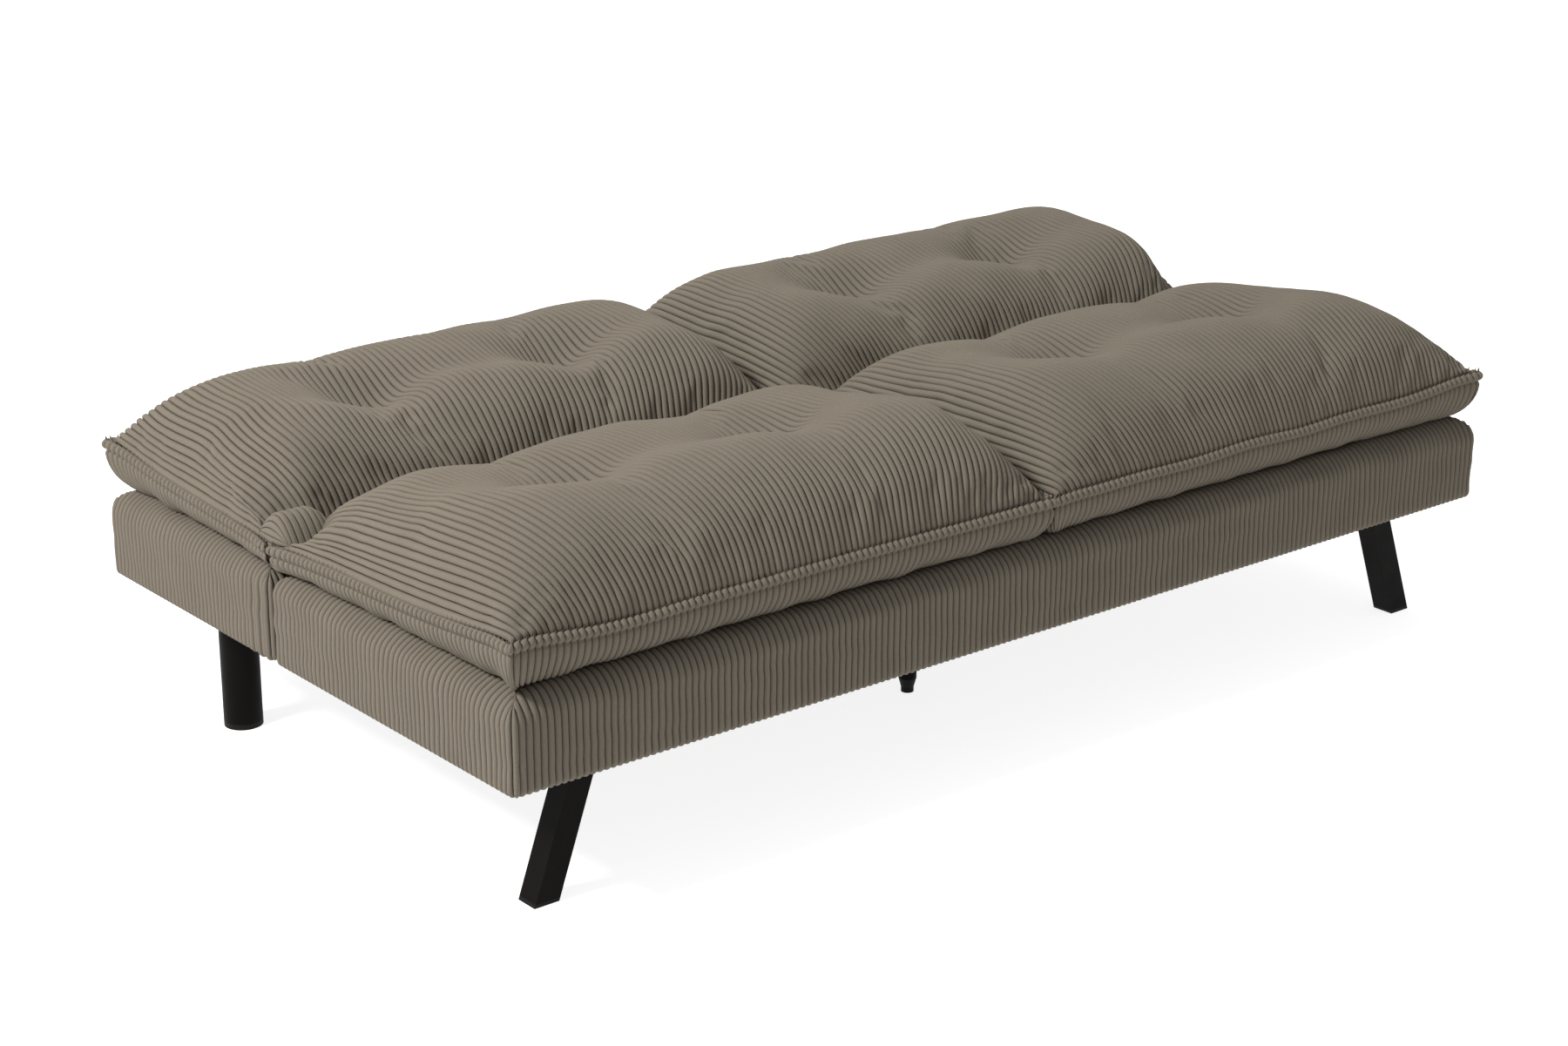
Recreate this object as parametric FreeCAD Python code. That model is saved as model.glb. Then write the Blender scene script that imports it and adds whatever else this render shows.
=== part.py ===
import FreeCAD, Part
import math
import os

from FreeCAD import Vector

# Futon sofa bed, lying flat as a bed. Millimetres, +Z up, X along the length, the front faces -Y.
# The origin is on the floor, at the middle of the whole object's length and depth.

# ---- Driving dimensions -------------------------------------------------------------------------
length = 1800.0            # both sections, end to end
seat_depth = 570.0         # seat section, front face to hinge line
back_depth = 454.0         # back section, hinge line to far edge
underside = 188.0          # floor to the underside of both sections
hinge_slit = 8.0           # gap between the two bases at the hinge line
hinge_height = 65.0        # hinge axis above the top of the bases
recline_max = 75.0         # degrees that the back lifts from flat

cover_t = 3.0              # corduroy with its lining
hem_width = 30.0           # cover turned in under the frame
side_pad = 6.0             # padding between the cover and the rails
outer_edge_r = 35.0        # soft edge along the front, the far side and the two ends
inner_edge_r = 25.0        # soft edge along the hinge line
far_face_lean = 9.0        # far face tucks in by this at its bottom
far_face_lean_height = 80.0
dust_cover_t = 1.2

rail_t = 20.0
rail_height = 95.0
centre_rail_t = 60.0
board_t = 18.0             # plywood mounting boards at the two ends
board_width = 171.0
slat_t = 12.0
slat_width = 60.0
slat_count = 12
slat_end_gap = 8.0         # slat end to the outer face of the rail it lies on
top_pad = 14.0             # slats to the flat top of the upholstered base
foam_play = 0.3            # foam to the pieces it wraps

screw_r = 2.25
screw_head_r = 4.5
screw_head_h = 3.0
screw_length = 60.0
screw_heights = (24.0, 71.0)   # above the rail's bottom
fit_play = 0.05            # radial play of fasteners and pins

pillow_gap = 2.0           # pillow edge to the middle of the sofa
pillow_edge_inset = 1.0    # pillow seam behind the face of the base
pillow_seam_front = 58.0   # seam above the base top, at the front and far edges
pillow_seam_hinge = 37.0   # seam above the base top, at the hinge line
pillow_crown = 180.0       # top of the pillow above the base top
pillow_round = 115.0       # run of the rounded upper edge
pillow_tuck = 45.0         # the under side tapers in to the base over this run
pillow_rest = 0.3          # pillow to base top
casing_t = 3.0
fill_play = 0.3
seam_width = 10.0          # casing is solid for this width at its seam
hinge_edge_inset = 6.0     # pillow edge to the hinge line
hinge_corner_inset = 32.0  # the same, at the corners that hold the hinges
hinge_corner_run = 110.0   # length of the corner that steps back for the hinge
tuft_depth = 32.0
tuft_spread = 75.0
tuft_inner = 285.0         # tufts from the middle of the sofa
tuft_outer = 612.0
tuft_valley = 40.0         # valley that joins the tufts
tuft_valley_spread = 62.0
seat_tuft_back = 280.0     # hinge line to the row of tufts
back_tuft_back = 210.0
tie_r = 1.5

leg_tube = 36.0
leg_wall = 2.0
leg_foot_x = 816.0
leg_foot_front = 75.0      # leg centre behind the front face
leg_splay = 0.358          # sideways run per unit of height
leg_cap_h = 5.0
leg_plug_h = 14.0
plate_t = 4.0
leg_plate_x = 90.0
leg_plate_y = 80.0
plate_bolt_margin = 12.0

bolt_r = 4.0
bolt_head_r = 7.0
bolt_head_h = 5.0
bolt_bite = 16.0           # bolt in the wood

arm_x = 820.0
arm_width = 40.0
arm_height = 26.0
arm_drop = 13.8            # dust cover to the top of the arm
arm_wall = 2.5
arm_front_reach = 208.0    # arm ahead of the hinge line
arm_tail = 30.0            # arm past the rear leg
arm_bolt_places = (-178.0, -122.0, -66.0)   # from the hinge line
arm_pad_length = 32.0
bump_play = 0.3
rear_leg_back = 240.0      # hinge line to the rear leg
rear_leg_r = 28.0
rear_leg_wall = 2.0
rear_leg_lid = 3.0
rear_foot_h = 8.0

centre_leg_back = 270.0    # centre leg ahead of the hinge line
centre_leg_r = 13.5
centre_plate_y = 90.0
centre_foot_h = 22.0
centre_glide_r = 9.5

hinge_plate_t = 4.0
hinge_play = 0.3
hinge_head_r = 16.0
tooth_head_r = 18.0
tooth_depth = 3.0
tooth_width = 3.5
tooth_step = 15.0          # degrees between notches
pivot_r = 5.0
rivet_head_r = 8.0
rivet_head_h = 3.0
hinge_block_start = 36.0   # hinge line to the bolted part of the plate
hinge_block_end = 130.0
hinge_block_low = 24.0     # above the underside
hinge_block_high = 94.0
hinge_neck = 24.0          # width of the neck where it leaves the block
hinge_neck_rise = 4.0      # the neck's underside clears the end rail by this
hinge_bolt_r = 3.0
hinge_bolt_head_r = 5.5
hinge_bolt_head_h = 4.0
hinge_bolt_tip = 2.0       # timber left past the bolt's end
# hinge bolts: distance from the hinge line, height above the underside
hinge_bolt_places = ((112.0, 41.0), (112.0, 77.0), (58.0, 59.0))
slot_play = 1.0            # cloth slit round the hinge plates
pawl_pin_y = -26.0         # from the hinge axis
pawl_pin_z = -46.0
pawl_pin_r = 3.0
pawl_pin_head_r = 5.0
pawl_pin_head_h = 2.0
pawl_r = 7.0
pawl_nose_r = 3.0
pawl_angle = 240.0         # degrees round the axis where the pawl meets the head
pawl_play = 0.6            # pawl nose to the toothed head
spring_wire_r = 1.1
spring_coil_r = 5.4
spring_tail_r = 0.9
spring_pitch = 2.0         # wound tight, so the coils press into each other
gusset_t = 1.2
gusset_low = 14.0          # above the underside
gusset_end = 60.0          # from each end of the sofa

# ---- Places worked out from them ----------------------------------------------------------------
half = length / 2.0
depth = seat_depth + back_depth
hinge_y = seat_depth - depth / 2.0
top = underside + 2.0 * cover_t + rail_height + slat_t + top_pad
axis_z = top + hinge_height
rail_low = underside + cover_t
rail_high = rail_low + rail_height
slat_high = rail_high + slat_t
rail_out = half - cover_t - side_pad
rail_in = rail_out - rail_t
plate_top = rail_low - dust_cover_t
plate_low = plate_top - plate_t
arm_high = plate_top - arm_drop
arm_low = arm_high - arm_height
seat_plate_in = rail_in - hinge_plate_t
back_arm_out = seat_plate_in - hinge_play
back_arm_in = back_arm_out - hinge_plate_t
slat_reach = back_arm_in - hinge_bolt_head_h - 3.0
seat_y = (-depth / 2.0, hinge_y - hinge_slit / 2.0)
back_y = (hinge_y + hinge_slit / 2.0, depth / 2.0)


# ---- Helpers ------------------------------------------------------------------------------------
def block(x0, x1, y0, y1, z0, z1):
    return Part.makeBox(x1 - x0, y1 - y0, z1 - z0, Vector(x0, y0, z0))


def rod(axis, x, y, z, r, run):
    """A cylinder of radius r from (x, y, z) along +X, +Y or +Z."""
    way = {"x": Vector(1, 0, 0), "y": Vector(0, 1, 0), "z": Vector(0, 0, 1)}[axis]
    return Part.makeCylinder(r, run, Vector(x, y, z), way)


def mirrored(shape):
    return shape.mirror(Vector(0, 0, 0), Vector(1, 0, 0))


def both_sides(shapes):
    return list(shapes) + [mirrored(s) for s in shapes]


def cut_all(shape, tools):
    for tool in tools:
        shape = shape.cut(tool)
    return shape


def group(shapes):
    """One compound of separate solids."""
    solids = [s for shape in shapes for s in shape.Solids]
    return solids[0] if len(solids) == 1 else Part.makeCompound(solids)


def outline(points):
    """A closed wire of straight runs through (x, y, z) points."""
    corners = [Vector(*p) for p in points]
    return Part.makePolygon(corners + [corners[0]])


def save(name, shapes):
    shape = group(shapes if isinstance(shapes, list) else [shapes])
    for solid in shape.Solids:
        if not solid.isValid() or solid.Volume <= 0:
            raise ValueError(name + " holds a bad solid")
    shape.exportStep("parts/" + name + ".step")


# ---- Upholstered bases --------------------------------------------------------------------------
def rounded_profile(a, b, low, high, ra, rb, lean_a, lean_b, place):
    """A face with a flat bottom, two rounded top corners and sides that may tuck in at the bottom."""
    up = low + far_face_lean_height
    k = math.sqrt(0.5)
    ends = [
        Vector(*place(a + lean_a, low)),
        Vector(*place(a, up)),
        Vector(*place(a, high - ra)),
        Vector(*place(a + ra, high)),
        Vector(*place(b - rb, high)),
        Vector(*place(b, high - rb)),
        Vector(*place(b, up)),
        Vector(*place(b - lean_b, low)),
    ]
    mid_a = Vector(*place(a + ra - ra * k, high - ra + ra * k))
    mid_b = Vector(*place(b - rb + rb * k, high - rb + rb * k))
    edges = [
        Part.LineSegment(ends[0], ends[1]),
        Part.LineSegment(ends[1], ends[2]),
        Part.Arc(ends[2], mid_a, ends[3]),
        Part.LineSegment(ends[3], ends[4]),
        Part.Arc(ends[4], mid_b, ends[5]),
        Part.LineSegment(ends[5], ends[6]),
        Part.LineSegment(ends[6], ends[7]),
        Part.LineSegment(ends[7], ends[0]),
    ]
    return Part.Face(Part.Wire([e.toShape() for e in edges]))


def base_form(y, radii, leans, inset, low):
    """The outer form of a base, or that form drawn in by inset, from height low to the top."""
    lower = rounded_profile(
        y[0] + inset, y[1] - inset, low, top - inset, radii[0] - inset, radii[1] - inset,
        leans[0], leans[1], lambda a, z: (-half - 10.0, a, z),
    ).extrude(Vector(length + 20.0, 0, 0))
    ends = rounded_profile(
        -half + inset, half - inset, low, top - inset, outer_edge_r - inset, outer_edge_r - inset,
        0.0, 0.0, lambda a, z: (a, y[0] - 10.0, z),
    ).extrude(Vector(0, y[1] - y[0] + 20.0, 0))
    return lower.common(ends)


def base_cover(y, radii, leans, slots):
    """Corduroy casing: top, four sides and a hem turned in under the frame."""
    outer = base_form(y, radii, leans, 0.0, underside)
    inner = base_form(y, radii, leans, cover_t, rail_low)
    mouth = block(
        -half + hem_width, half - hem_width, y[0] + hem_width, y[1] - hem_width,
        underside - 1.0, rail_low + 1.0,
    )
    return cut_all(outer.cut(inner).cut(mouth), slots)


def frame_span(y, leans):
    """Outer faces of the near and far rails, inside the padding and any tucked-in face."""
    inset = cover_t + side_pad
    return y[0] + inset + leans[0], y[1] - inset - leans[1]


def base_foam(y, radii, leans, slots):
    """One foam sheet over the slats that also wraps the outside of the rails."""
    form = base_form(y, radii, leans, cover_t, rail_low)
    near, far = frame_span(y, leans)
    frame_block = block(-rail_out, rail_out, near, far, rail_low - 1.0, rail_high)
    slat_block = block(
        -slat_reach - foam_play, slat_reach + foam_play,
        near + slat_end_gap - foam_play, far - slat_end_gap + foam_play,
        rail_high - 1.0, slat_high,
    )
    return cut_all(form.cut(frame_block).cut(slat_block), slots)


def dust_cover(y):
    edge = hem_width + 0.5
    return block(-half + edge, half - edge, y[0] + edge, y[1] - edge, plate_top, rail_low)


def slats(y, leans):
    near, far = frame_span(y, leans)
    pitch = (2.0 * slat_reach - slat_width) / (slat_count - 1)
    out = []
    for i in range(slat_count):
        x = -slat_reach + i * pitch
        out.append(block(
            x, x + slat_width, near + slat_end_gap, far - slat_end_gap, rail_high, slat_high,
        ))
    return out


def screw(axis, x, y, z, turn, play=0.0):
    """Countersunk screw with its head's face at (x, y, z), running along turn * axis."""
    way = {"x": Vector(turn, 0, 0), "y": Vector(0, turn, 0)}[axis]
    at = Vector(x, y, z)
    head = Part.makeCone(screw_head_r + play, screw_r + play, screw_head_h, at, way)
    shank = Part.makeCylinder(screw_r + play, screw_length, at, way)
    return head.fuse(shank)


def frame_screws(y, leans, play=0.0):
    near, far = frame_span(y, leans)
    out = []
    for h in screw_heights:
        z = rail_low + h
        for rail_y in (near + rail_t / 2.0, far - rail_t / 2.0):
            out.append(screw("x", rail_out, rail_y, z, -1, play))
            out.append(screw("x", -rail_out, rail_y, z, 1, play))
        out.append(screw("y", 0.0, near, z, 1, play))
        out.append(screw("y", 0.0, far, z, -1, play))
    return out


def timber_frame(y, leans, side_rail_in):
    """Near and far rails between two side rails, a centre rail, end boards and cross slats."""
    near_face, far_face = frame_span(y, leans)
    near = (near_face, near_face + rail_t)
    far = (far_face - rail_t, far_face)
    holes = frame_screws(y, leans, fit_play)
    near_rail = block(-side_rail_in, side_rail_in, near[0], near[1], rail_low, rail_high)
    far_rail = block(-side_rail_in, side_rail_in, far[0], far[1], rail_low, rail_high)
    side_rail = block(side_rail_in, rail_out, near[0], far[1], rail_low, rail_high)
    wide = centre_rail_t / 2.0
    centre = block(-wide, wide, near[1], far[0], rail_low, rail_high)
    board = block(
        side_rail_in - board_width, side_rail_in, near[1], far[0], rail_low, rail_low + board_t,
    )
    return {
        "near_rail": cut_all(near_rail, holes),
        "far_rail": cut_all(far_rail, holes),
        "side_rails": [cut_all(s, holes) for s in both_sides([side_rail])],
        "centre_rail": cut_all(centre, holes),
        "end_boards": both_sides([board]),
        "slats": slats(y, leans),
        "screws": frame_screws(y, leans),
    }


# ---- Pillows ------------------------------------------------------------------------------------
def quarter(t):
    """A quarter circle from 0 to 1."""
    t = min(max(t, 0.0), 1.0)
    return math.sqrt(1.0 - (1.0 - t) ** 2)


def ease(t):
    t = min(max(t, 0.0), 1.0)
    return t * t * (3.0 - 2.0 * t)


def knot_steps(span, edge):
    """Knots from 0 to span, close together at both edges."""
    lead = [s * edge for s in (0.0, 0.12, 0.3, 0.55, 0.85, 1.2)]
    middle = span - 2.0 * lead[-1]
    count = max(2, int(round(middle / 60.0)))
    inner = [lead[-1] + middle * i / count for i in range(1, count)]
    return lead + inner + [span - s for s in reversed(lead)]


def pole_places(knots):
    """Where a clamped cubic's poles stand, so that its parameter is the distance along it."""
    full = [knots[0]] * 3 + knots + [knots[-1]] * 3
    return [sum(full[i + 1:i + 4]) / 3.0 for i in range(len(full) - 4)]


def spline_face(net, u_knots, v_knots):
    """A clamped cubic B-spline face on a net of poles."""
    u_mults, v_mults = ([4] + [1] * (len(k) - 2) + [4] for k in (u_knots, v_knots))
    surface = Part.BSplineSurface()
    surface.buildFromPolesMultsKnots(
        net, u_mults, v_mults, u_knots, v_knots, False, False, 3, 3,
    )
    return surface.toShape()


def pillow_form(section, drawn_in):
    """A right-hand pillow as a closed form: its skin, or that skin drawn in by drawn_in."""
    inset = drawn_in * seam_width / casing_t
    way = 1.0 if section == "back" else -1.0
    section_depth = back_depth if section == "back" else seat_depth
    row = back_tuft_back if section == "back" else seat_tuft_back
    span_x = half - pillow_edge_inset - pillow_gap
    span_v = section_depth - pillow_edge_inset - hinge_edge_inset
    x_knots = knot_steps(span_x, pillow_round)
    v_knots = knot_steps(span_v, pillow_round)
    x_places = pole_places(x_knots)
    v_places = pole_places(v_knots)
    slope = math.tan(math.radians(recline_max / 2.0 + 0.5))
    crown = pillow_crown - drawn_in

    def pole(i, j, upper):
        ex = min(x_places[i], span_x - x_places[i])
        ev = min(v_places[j], span_v - v_places[j])
        x = pillow_gap + inset + x_places[i] * (span_x - 2.0 * inset) / span_x
        v = v_places[j] / span_v
        corner = (x - (half - hinge_corner_run)) / (hinge_corner_run * 0.45)
        edge = hinge_edge_inset + (hinge_corner_inset - hinge_edge_inset) * ease(corner) + inset
        far_edge = section_depth - pillow_edge_inset - inset
        out = edge + (far_edge - edge) * v
        seam = top + pillow_seam_hinge + (pillow_seam_front - pillow_seam_hinge) * v
        if upper:
            rise = (top + crown - seam) * quarter(ex / pillow_round) * quarter(ev / pillow_round)
            dip = tuft_valley * math.exp(-(((out - row) / tuft_valley_spread) ** 2))
            for tuft_x in (tuft_inner, tuft_outer):
                away = math.hypot(x - tuft_x, out - row)
                dip += tuft_depth * math.exp(-((away / tuft_spread) ** 2))
            z = seam + rise - dip * ease(ex / pillow_round) * ease(ev / pillow_round)
        else:
            low = top + pillow_rest + drawn_in
            z = low + (seam - low) * (1.0 - min(min(ex, ev) / pillow_tuck, 1.0)) ** 1.5
        out = max(out, (z - axis_z) * slope + hinge_edge_inset / 2.0 + drawn_in * 1.5)
        return Vector(x, hinge_y + way * out, z)

    faces = []
    for upper in (True, False):
        net = [
            [pole(i, j, upper) for j in range(len(v_places))] for i in range(len(x_places))
        ]
        faces.append(spline_face(net, x_knots, v_knots))
    sewn = Part.makeCompound(faces)
    sewn.sewShape(0.01)
    solid = Part.makeSolid(sewn.Shells[0])
    if solid.Volume < 0:
        solid.reverse()
    return solid


def pillow_parts(section):
    """Casing, fill and tuft ties of the right-hand pillow."""
    row = back_tuft_back if section == "back" else -seat_tuft_back
    room = pillow_form(section, casing_t)
    casing = pillow_form(section, 0.0).cut(room)
    fill = pillow_form(section, casing_t + fill_play)
    ties = []
    for x in (tuft_inner, tuft_outer):
        tie = rod("z", x, hinge_y + row, top, tie_r, pillow_crown)
        ties.append(tie.common(room))
        fill = fill.cut(rod("z", x, hinge_y + row, top, tie_r + fill_play, pillow_crown))
    return casing, fill, ties


# ---- Legs ---------------------------------------------------------------------------------------
def slanted(wide, deep, z0, z1):
    """A right-hand slanted square bar between two heights, its ends cut level."""
    x = leg_foot_x - leg_splay * z0
    y = seat_y[0] + leg_foot_front
    wx = wide / 2.0
    wy = deep / 2.0
    foot = Part.Face(outline([
        (x - wx, y - wy, z0), (x + wx, y - wy, z0), (x + wx, y + wy, z0), (x - wx, y + wy, z0),
    ]))
    return foot.extrude(Vector(-leg_splay * (z1 - z0), 0, z1 - z0))


def front_leg():
    level = math.sqrt(1.0 + leg_splay ** 2)
    inner = leg_tube - 2.0 * leg_wall
    tube = slanted(leg_tube * level, leg_tube, leg_cap_h, plate_low)
    return tube.cut(slanted(inner * level, inner, leg_cap_h - 1.0, plate_low + 1.0))


def front_foot():
    level = math.sqrt(1.0 + leg_splay ** 2)
    plug = leg_tube - 2.0 * leg_wall - 2.0 * fit_play
    cap = slanted(leg_tube * level, leg_tube, 0.0, leg_cap_h)
    return cap.fuse(slanted(plug * level, plug, leg_cap_h, leg_plug_h))


def plate_bolt_places(x, y, wide, deep):
    wx = wide / 2.0 - plate_bolt_margin
    wy = deep / 2.0 - plate_bolt_margin
    return [(x + sx * wx, y + sy * wy) for sx in (-1, 1) for sy in (-1, 1)]


def upright_bolt(x, y, seat_z, play=0.0):
    """Hexagon-headed bolt driven up into the frame, its head bearing at height seat_z."""
    shank = rod("z", x, y, seat_z - 1.0, bolt_r + play, rail_low + bolt_bite - seat_z + 1.0)
    if play:
        return shank
    corners = []
    for i in range(6):
        turn = math.radians(60.0 * i)
        corners.append((
            x + bolt_head_r * math.cos(turn), y + bolt_head_r * math.sin(turn),
            seat_z - bolt_head_h,
        ))
    head = Part.Face(outline(corners)).extrude(Vector(0, 0, bolt_head_h))
    return head.fuse(shank)


def rear_arm():
    y0 = hinge_y - arm_front_reach
    y1 = hinge_y + rear_leg_back + arm_tail
    wide = arm_width / 2.0
    inner = wide - arm_wall
    bar = block(arm_x - wide, arm_x + wide, y0, y1, arm_low, arm_high)
    return bar.cut(block(
        arm_x - inner, arm_x + inner, y0 - 1.0, y1 + 1.0, arm_low + arm_wall, arm_high - arm_wall,
    ))


def arm_pads():
    wide = arm_width / 2.0
    long = arm_pad_length / 2.0
    pads = []
    for place in arm_bolt_places:
        y = hinge_y + place
        pads.append(block(arm_x - wide, arm_x + wide, y - long, y + long, arm_high, plate_top))
    y = hinge_y + rear_leg_back
    pads.append(block(
        arm_x - wide, arm_x + wide, y - long, y + long, arm_high, plate_top - bump_play,
    ))
    return pads


def rear_leg():
    y = hinge_y + rear_leg_back
    tube = rod("z", arm_x, y, rear_foot_h, rear_leg_r, arm_low - rear_foot_h)
    bore = rear_leg_r - rear_leg_wall
    return tube.cut(rod("z", arm_x, y, 0.0, bore, arm_low - rear_leg_lid))


def rear_foot():
    y = hinge_y + rear_leg_back
    plug = rear_leg_r - rear_leg_wall - fit_play
    cap = rod("z", arm_x, y, 0.0, rear_leg_r, rear_foot_h)
    return cap.fuse(rod("z", arm_x, y, rear_foot_h, plug, leg_plug_h))


def centre_leg():
    y = hinge_y - centre_leg_back
    tube = rod("z", 0.0, y, centre_foot_h, centre_leg_r, plate_low - centre_foot_h)
    return tube.cut(rod("z", 0.0, y, 0.0, centre_leg_r - leg_wall, plate_top))


def centre_foot():
    y = hinge_y - centre_leg_back
    glide = rod("z", 0.0, y, 0.0, centre_glide_r, centre_foot_h / 3.0)
    flare = Part.makeCone(
        centre_glide_r, centre_leg_r, centre_foot_h * 2.0 / 3.0,
        Vector(0.0, y, centre_foot_h / 3.0), Vector(0, 0, 1),
    )
    plug = rod("z", 0.0, y, centre_foot_h, centre_leg_r - leg_wall - fit_play, leg_plug_h)
    return glide.fuse(flare).fuse(plug)


# ---- Click-clack hinges -------------------------------------------------------------------------
def flat_plate(points, x0, x1):
    """A plate in a YZ plane from points (y, z) measured from the hinge axis."""
    wire = outline([(x0, hinge_y + y, axis_z + z) for y, z in points])
    return Part.Face(wire).extrude(Vector(x1 - x0, 0, 0))


def hinge_form(way, head_r, x0, x1):
    """A bolted block and a neck that rises over the end rail to a round head on the axis."""
    low = underside + hinge_block_low - axis_z
    high = underside + hinge_block_high - axis_z
    points = [
        (hinge_block_start, low), (hinge_block_end, low), (hinge_block_end, high),
        (hinge_block_start + hinge_neck, high), (head_r * 0.93, head_r * 0.3),
        (head_r * 0.3, -head_r * 0.93), (hinge_block_start, rail_high + hinge_neck_rise - axis_z),
    ]
    plate = flat_plate([(way * y, z) for y, z in points], x0, x1)
    return plate.fuse(rod("x", x0, hinge_y, axis_z, head_r, x1 - x0))


def hinge_bolt_rods(way, x0, play):
    rods = []
    for back, up in hinge_bolt_places:
        y = hinge_y + way * back
        z = underside + up
        rods.append(rod("x", x0, y, z, hinge_bolt_r + play, rail_out - hinge_bolt_tip - x0))
    return rods


def hinge_bolts(way, x0):
    bolts = []
    for shank, (back, up) in zip(hinge_bolt_rods(way, x0, 0.0), hinge_bolt_places):
        head = rod(
            "x", x0 - hinge_bolt_head_h, hinge_y + way * back, underside + up,
            hinge_bolt_head_r, hinge_bolt_head_h,
        )
        bolts.append(head.fuse(shank))
    return bolts


def pin_rod(play):
    x0 = back_arm_in - 3.0 * rivet_head_h
    return rod("x", x0, hinge_y, axis_z, pivot_r + play, rail_in - x0)


def pawl_rod(play):
    x0 = back_arm_in - 3.0 * rivet_head_h
    y = hinge_y + pawl_pin_y
    return rod("x", x0, y, axis_z + pawl_pin_z, pawl_pin_r + play, rail_in - x0)


def seat_hinge_plate():
    plate = hinge_form(-1.0, hinge_head_r, seat_plate_in, rail_in)
    holes = hinge_bolt_rods(-1.0, seat_plate_in - 1.0, fit_play)
    return cut_all(plate, holes + [pin_rod(fit_play), pawl_rod(fit_play)])


def back_hinge_arm():
    arm = hinge_form(1.0, tooth_head_r, back_arm_in, back_arm_out)
    notches = []
    for i in range(int(recline_max / tooth_step) + 1):
        turn = pawl_angle - i * tooth_step
        notch = block(
            back_arm_in - 1.0, back_arm_out + 1.0, tooth_head_r - tooth_depth, tooth_head_r + 2.0,
            -tooth_width / 2.0, tooth_width / 2.0,
        )
        notch.rotate(Vector(0, 0, 0), Vector(1, 0, 0), turn)
        notch.translate(Vector(0, hinge_y, axis_z))
        notches.append(notch)
    holes = hinge_bolt_rods(1.0, back_arm_in - 1.0, fit_play) + [pin_rod(fit_play)]
    return cut_all(arm, notches + holes)


def hinge_pivot():
    """Rivet through both plates with a head on each side."""
    head = rod("x", rail_in, hinge_y, axis_z, rivet_head_r, rivet_head_h)
    inner_x = back_arm_in - hinge_play
    shank = rod("x", inner_x, hinge_y, axis_z, pivot_r, rail_in - inner_x)
    tail = rod("x", inner_x - rivet_head_h, hinge_y, axis_z, rivet_head_r, rivet_head_h)
    return head.fuse(shank).fuse(tail)


def spring_places():
    first = back_arm_in - hinge_play - spring_wire_r
    return (first, first - spring_pitch)


def pawl_pin():
    y = hinge_y + pawl_pin_y
    z = axis_z + pawl_pin_z
    inner_x = spring_places()[1] - spring_wire_r - hinge_play
    head = rod("x", rail_in, y, z, pawl_pin_head_r, pawl_pin_head_h)
    shank = rod("x", inner_x, y, z, pawl_pin_r, rail_in - inner_x)
    tail = rod("x", inner_x - pawl_pin_head_h, y, z, spring_coil_r, pawl_pin_head_h)
    return head.fuse(shank).fuse(tail)


def pawl_nose_place():
    reach = tooth_head_r + pawl_play + pawl_nose_r
    turn = math.radians(pawl_angle)
    return reach * math.cos(turn), reach * math.sin(turn)


def pawl():
    """A flat lever from its pin up to the toothed head."""
    nose_y, nose_z = pawl_nose_place()
    run = Vector(0, nose_y - pawl_pin_y, nose_z - pawl_pin_z)
    side = Vector(0, -run.z, run.y).normalize()
    corners = []
    for centre, r in (
        ((pawl_pin_y, pawl_pin_z), pawl_r), ((nose_y, nose_z), pawl_nose_r),
    ):
        a = (centre[0] + side.y * r, centre[1] + side.z * r)
        b = (centre[0] - side.y * r, centre[1] - side.z * r)
        corners.append((a, b))
    points = [corners[0][0], corners[1][0], corners[1][1], corners[0][1]]
    thick = back_arm_out - back_arm_in
    lever = flat_plate(points, back_arm_in, back_arm_out)
    lever = lever.fuse(rod(
        "x", back_arm_in, hinge_y + pawl_pin_y, axis_z + pawl_pin_z, pawl_r, thick,
    ))
    lever = lever.fuse(rod(
        "x", back_arm_in, hinge_y + nose_y, axis_z + nose_z, pawl_nose_r, thick,
    ))
    return lever.cut(pawl_rod(fit_play))


def pawl_spring():
    """Two coils round the pawl's pin, one tail along the pawl and one towards the base."""
    y = hinge_y + pawl_pin_y
    z = axis_z + pawl_pin_z
    nose_y, nose_z = pawl_nose_place()
    near_x, far_x = spring_places()
    coils = []
    for x in (near_x, far_x):
        coils.append(Part.makeTorus(spring_coil_r, spring_wire_r, Vector(x, y, z), Vector(1, 0, 0)))
    run = Vector(0, nose_y - pawl_pin_y, nose_z - pawl_pin_z)
    side = Vector(0, -run.z, run.y).normalize()
    start = Vector(near_x, y, z) + side * spring_coil_r
    upper = Part.makeCylinder(spring_tail_r, run.Length * 0.7, start, run)
    start = Vector(far_x, y, z) + side * spring_coil_r
    lower = Part.makeCylinder(spring_tail_r, run.Length * 0.5, start, run * -1.0)
    return coils[0].fuse(coils[1]).fuse(upper).fuse(lower)


# ---- Put together -------------------------------------------------------------------------------
def hinge_slot(way, x0, x1):
    """The slit that lets a hinge plate out through the foam and the cover."""
    near = hinge_y + way * 2.0
    far = hinge_y + way * (hinge_block_start + hinge_neck)
    slot = block(x0 - slot_play, x1 + slot_play, min(near, far), max(near, far), rail_high, top + 1.0)
    return both_sides([slot])


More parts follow.
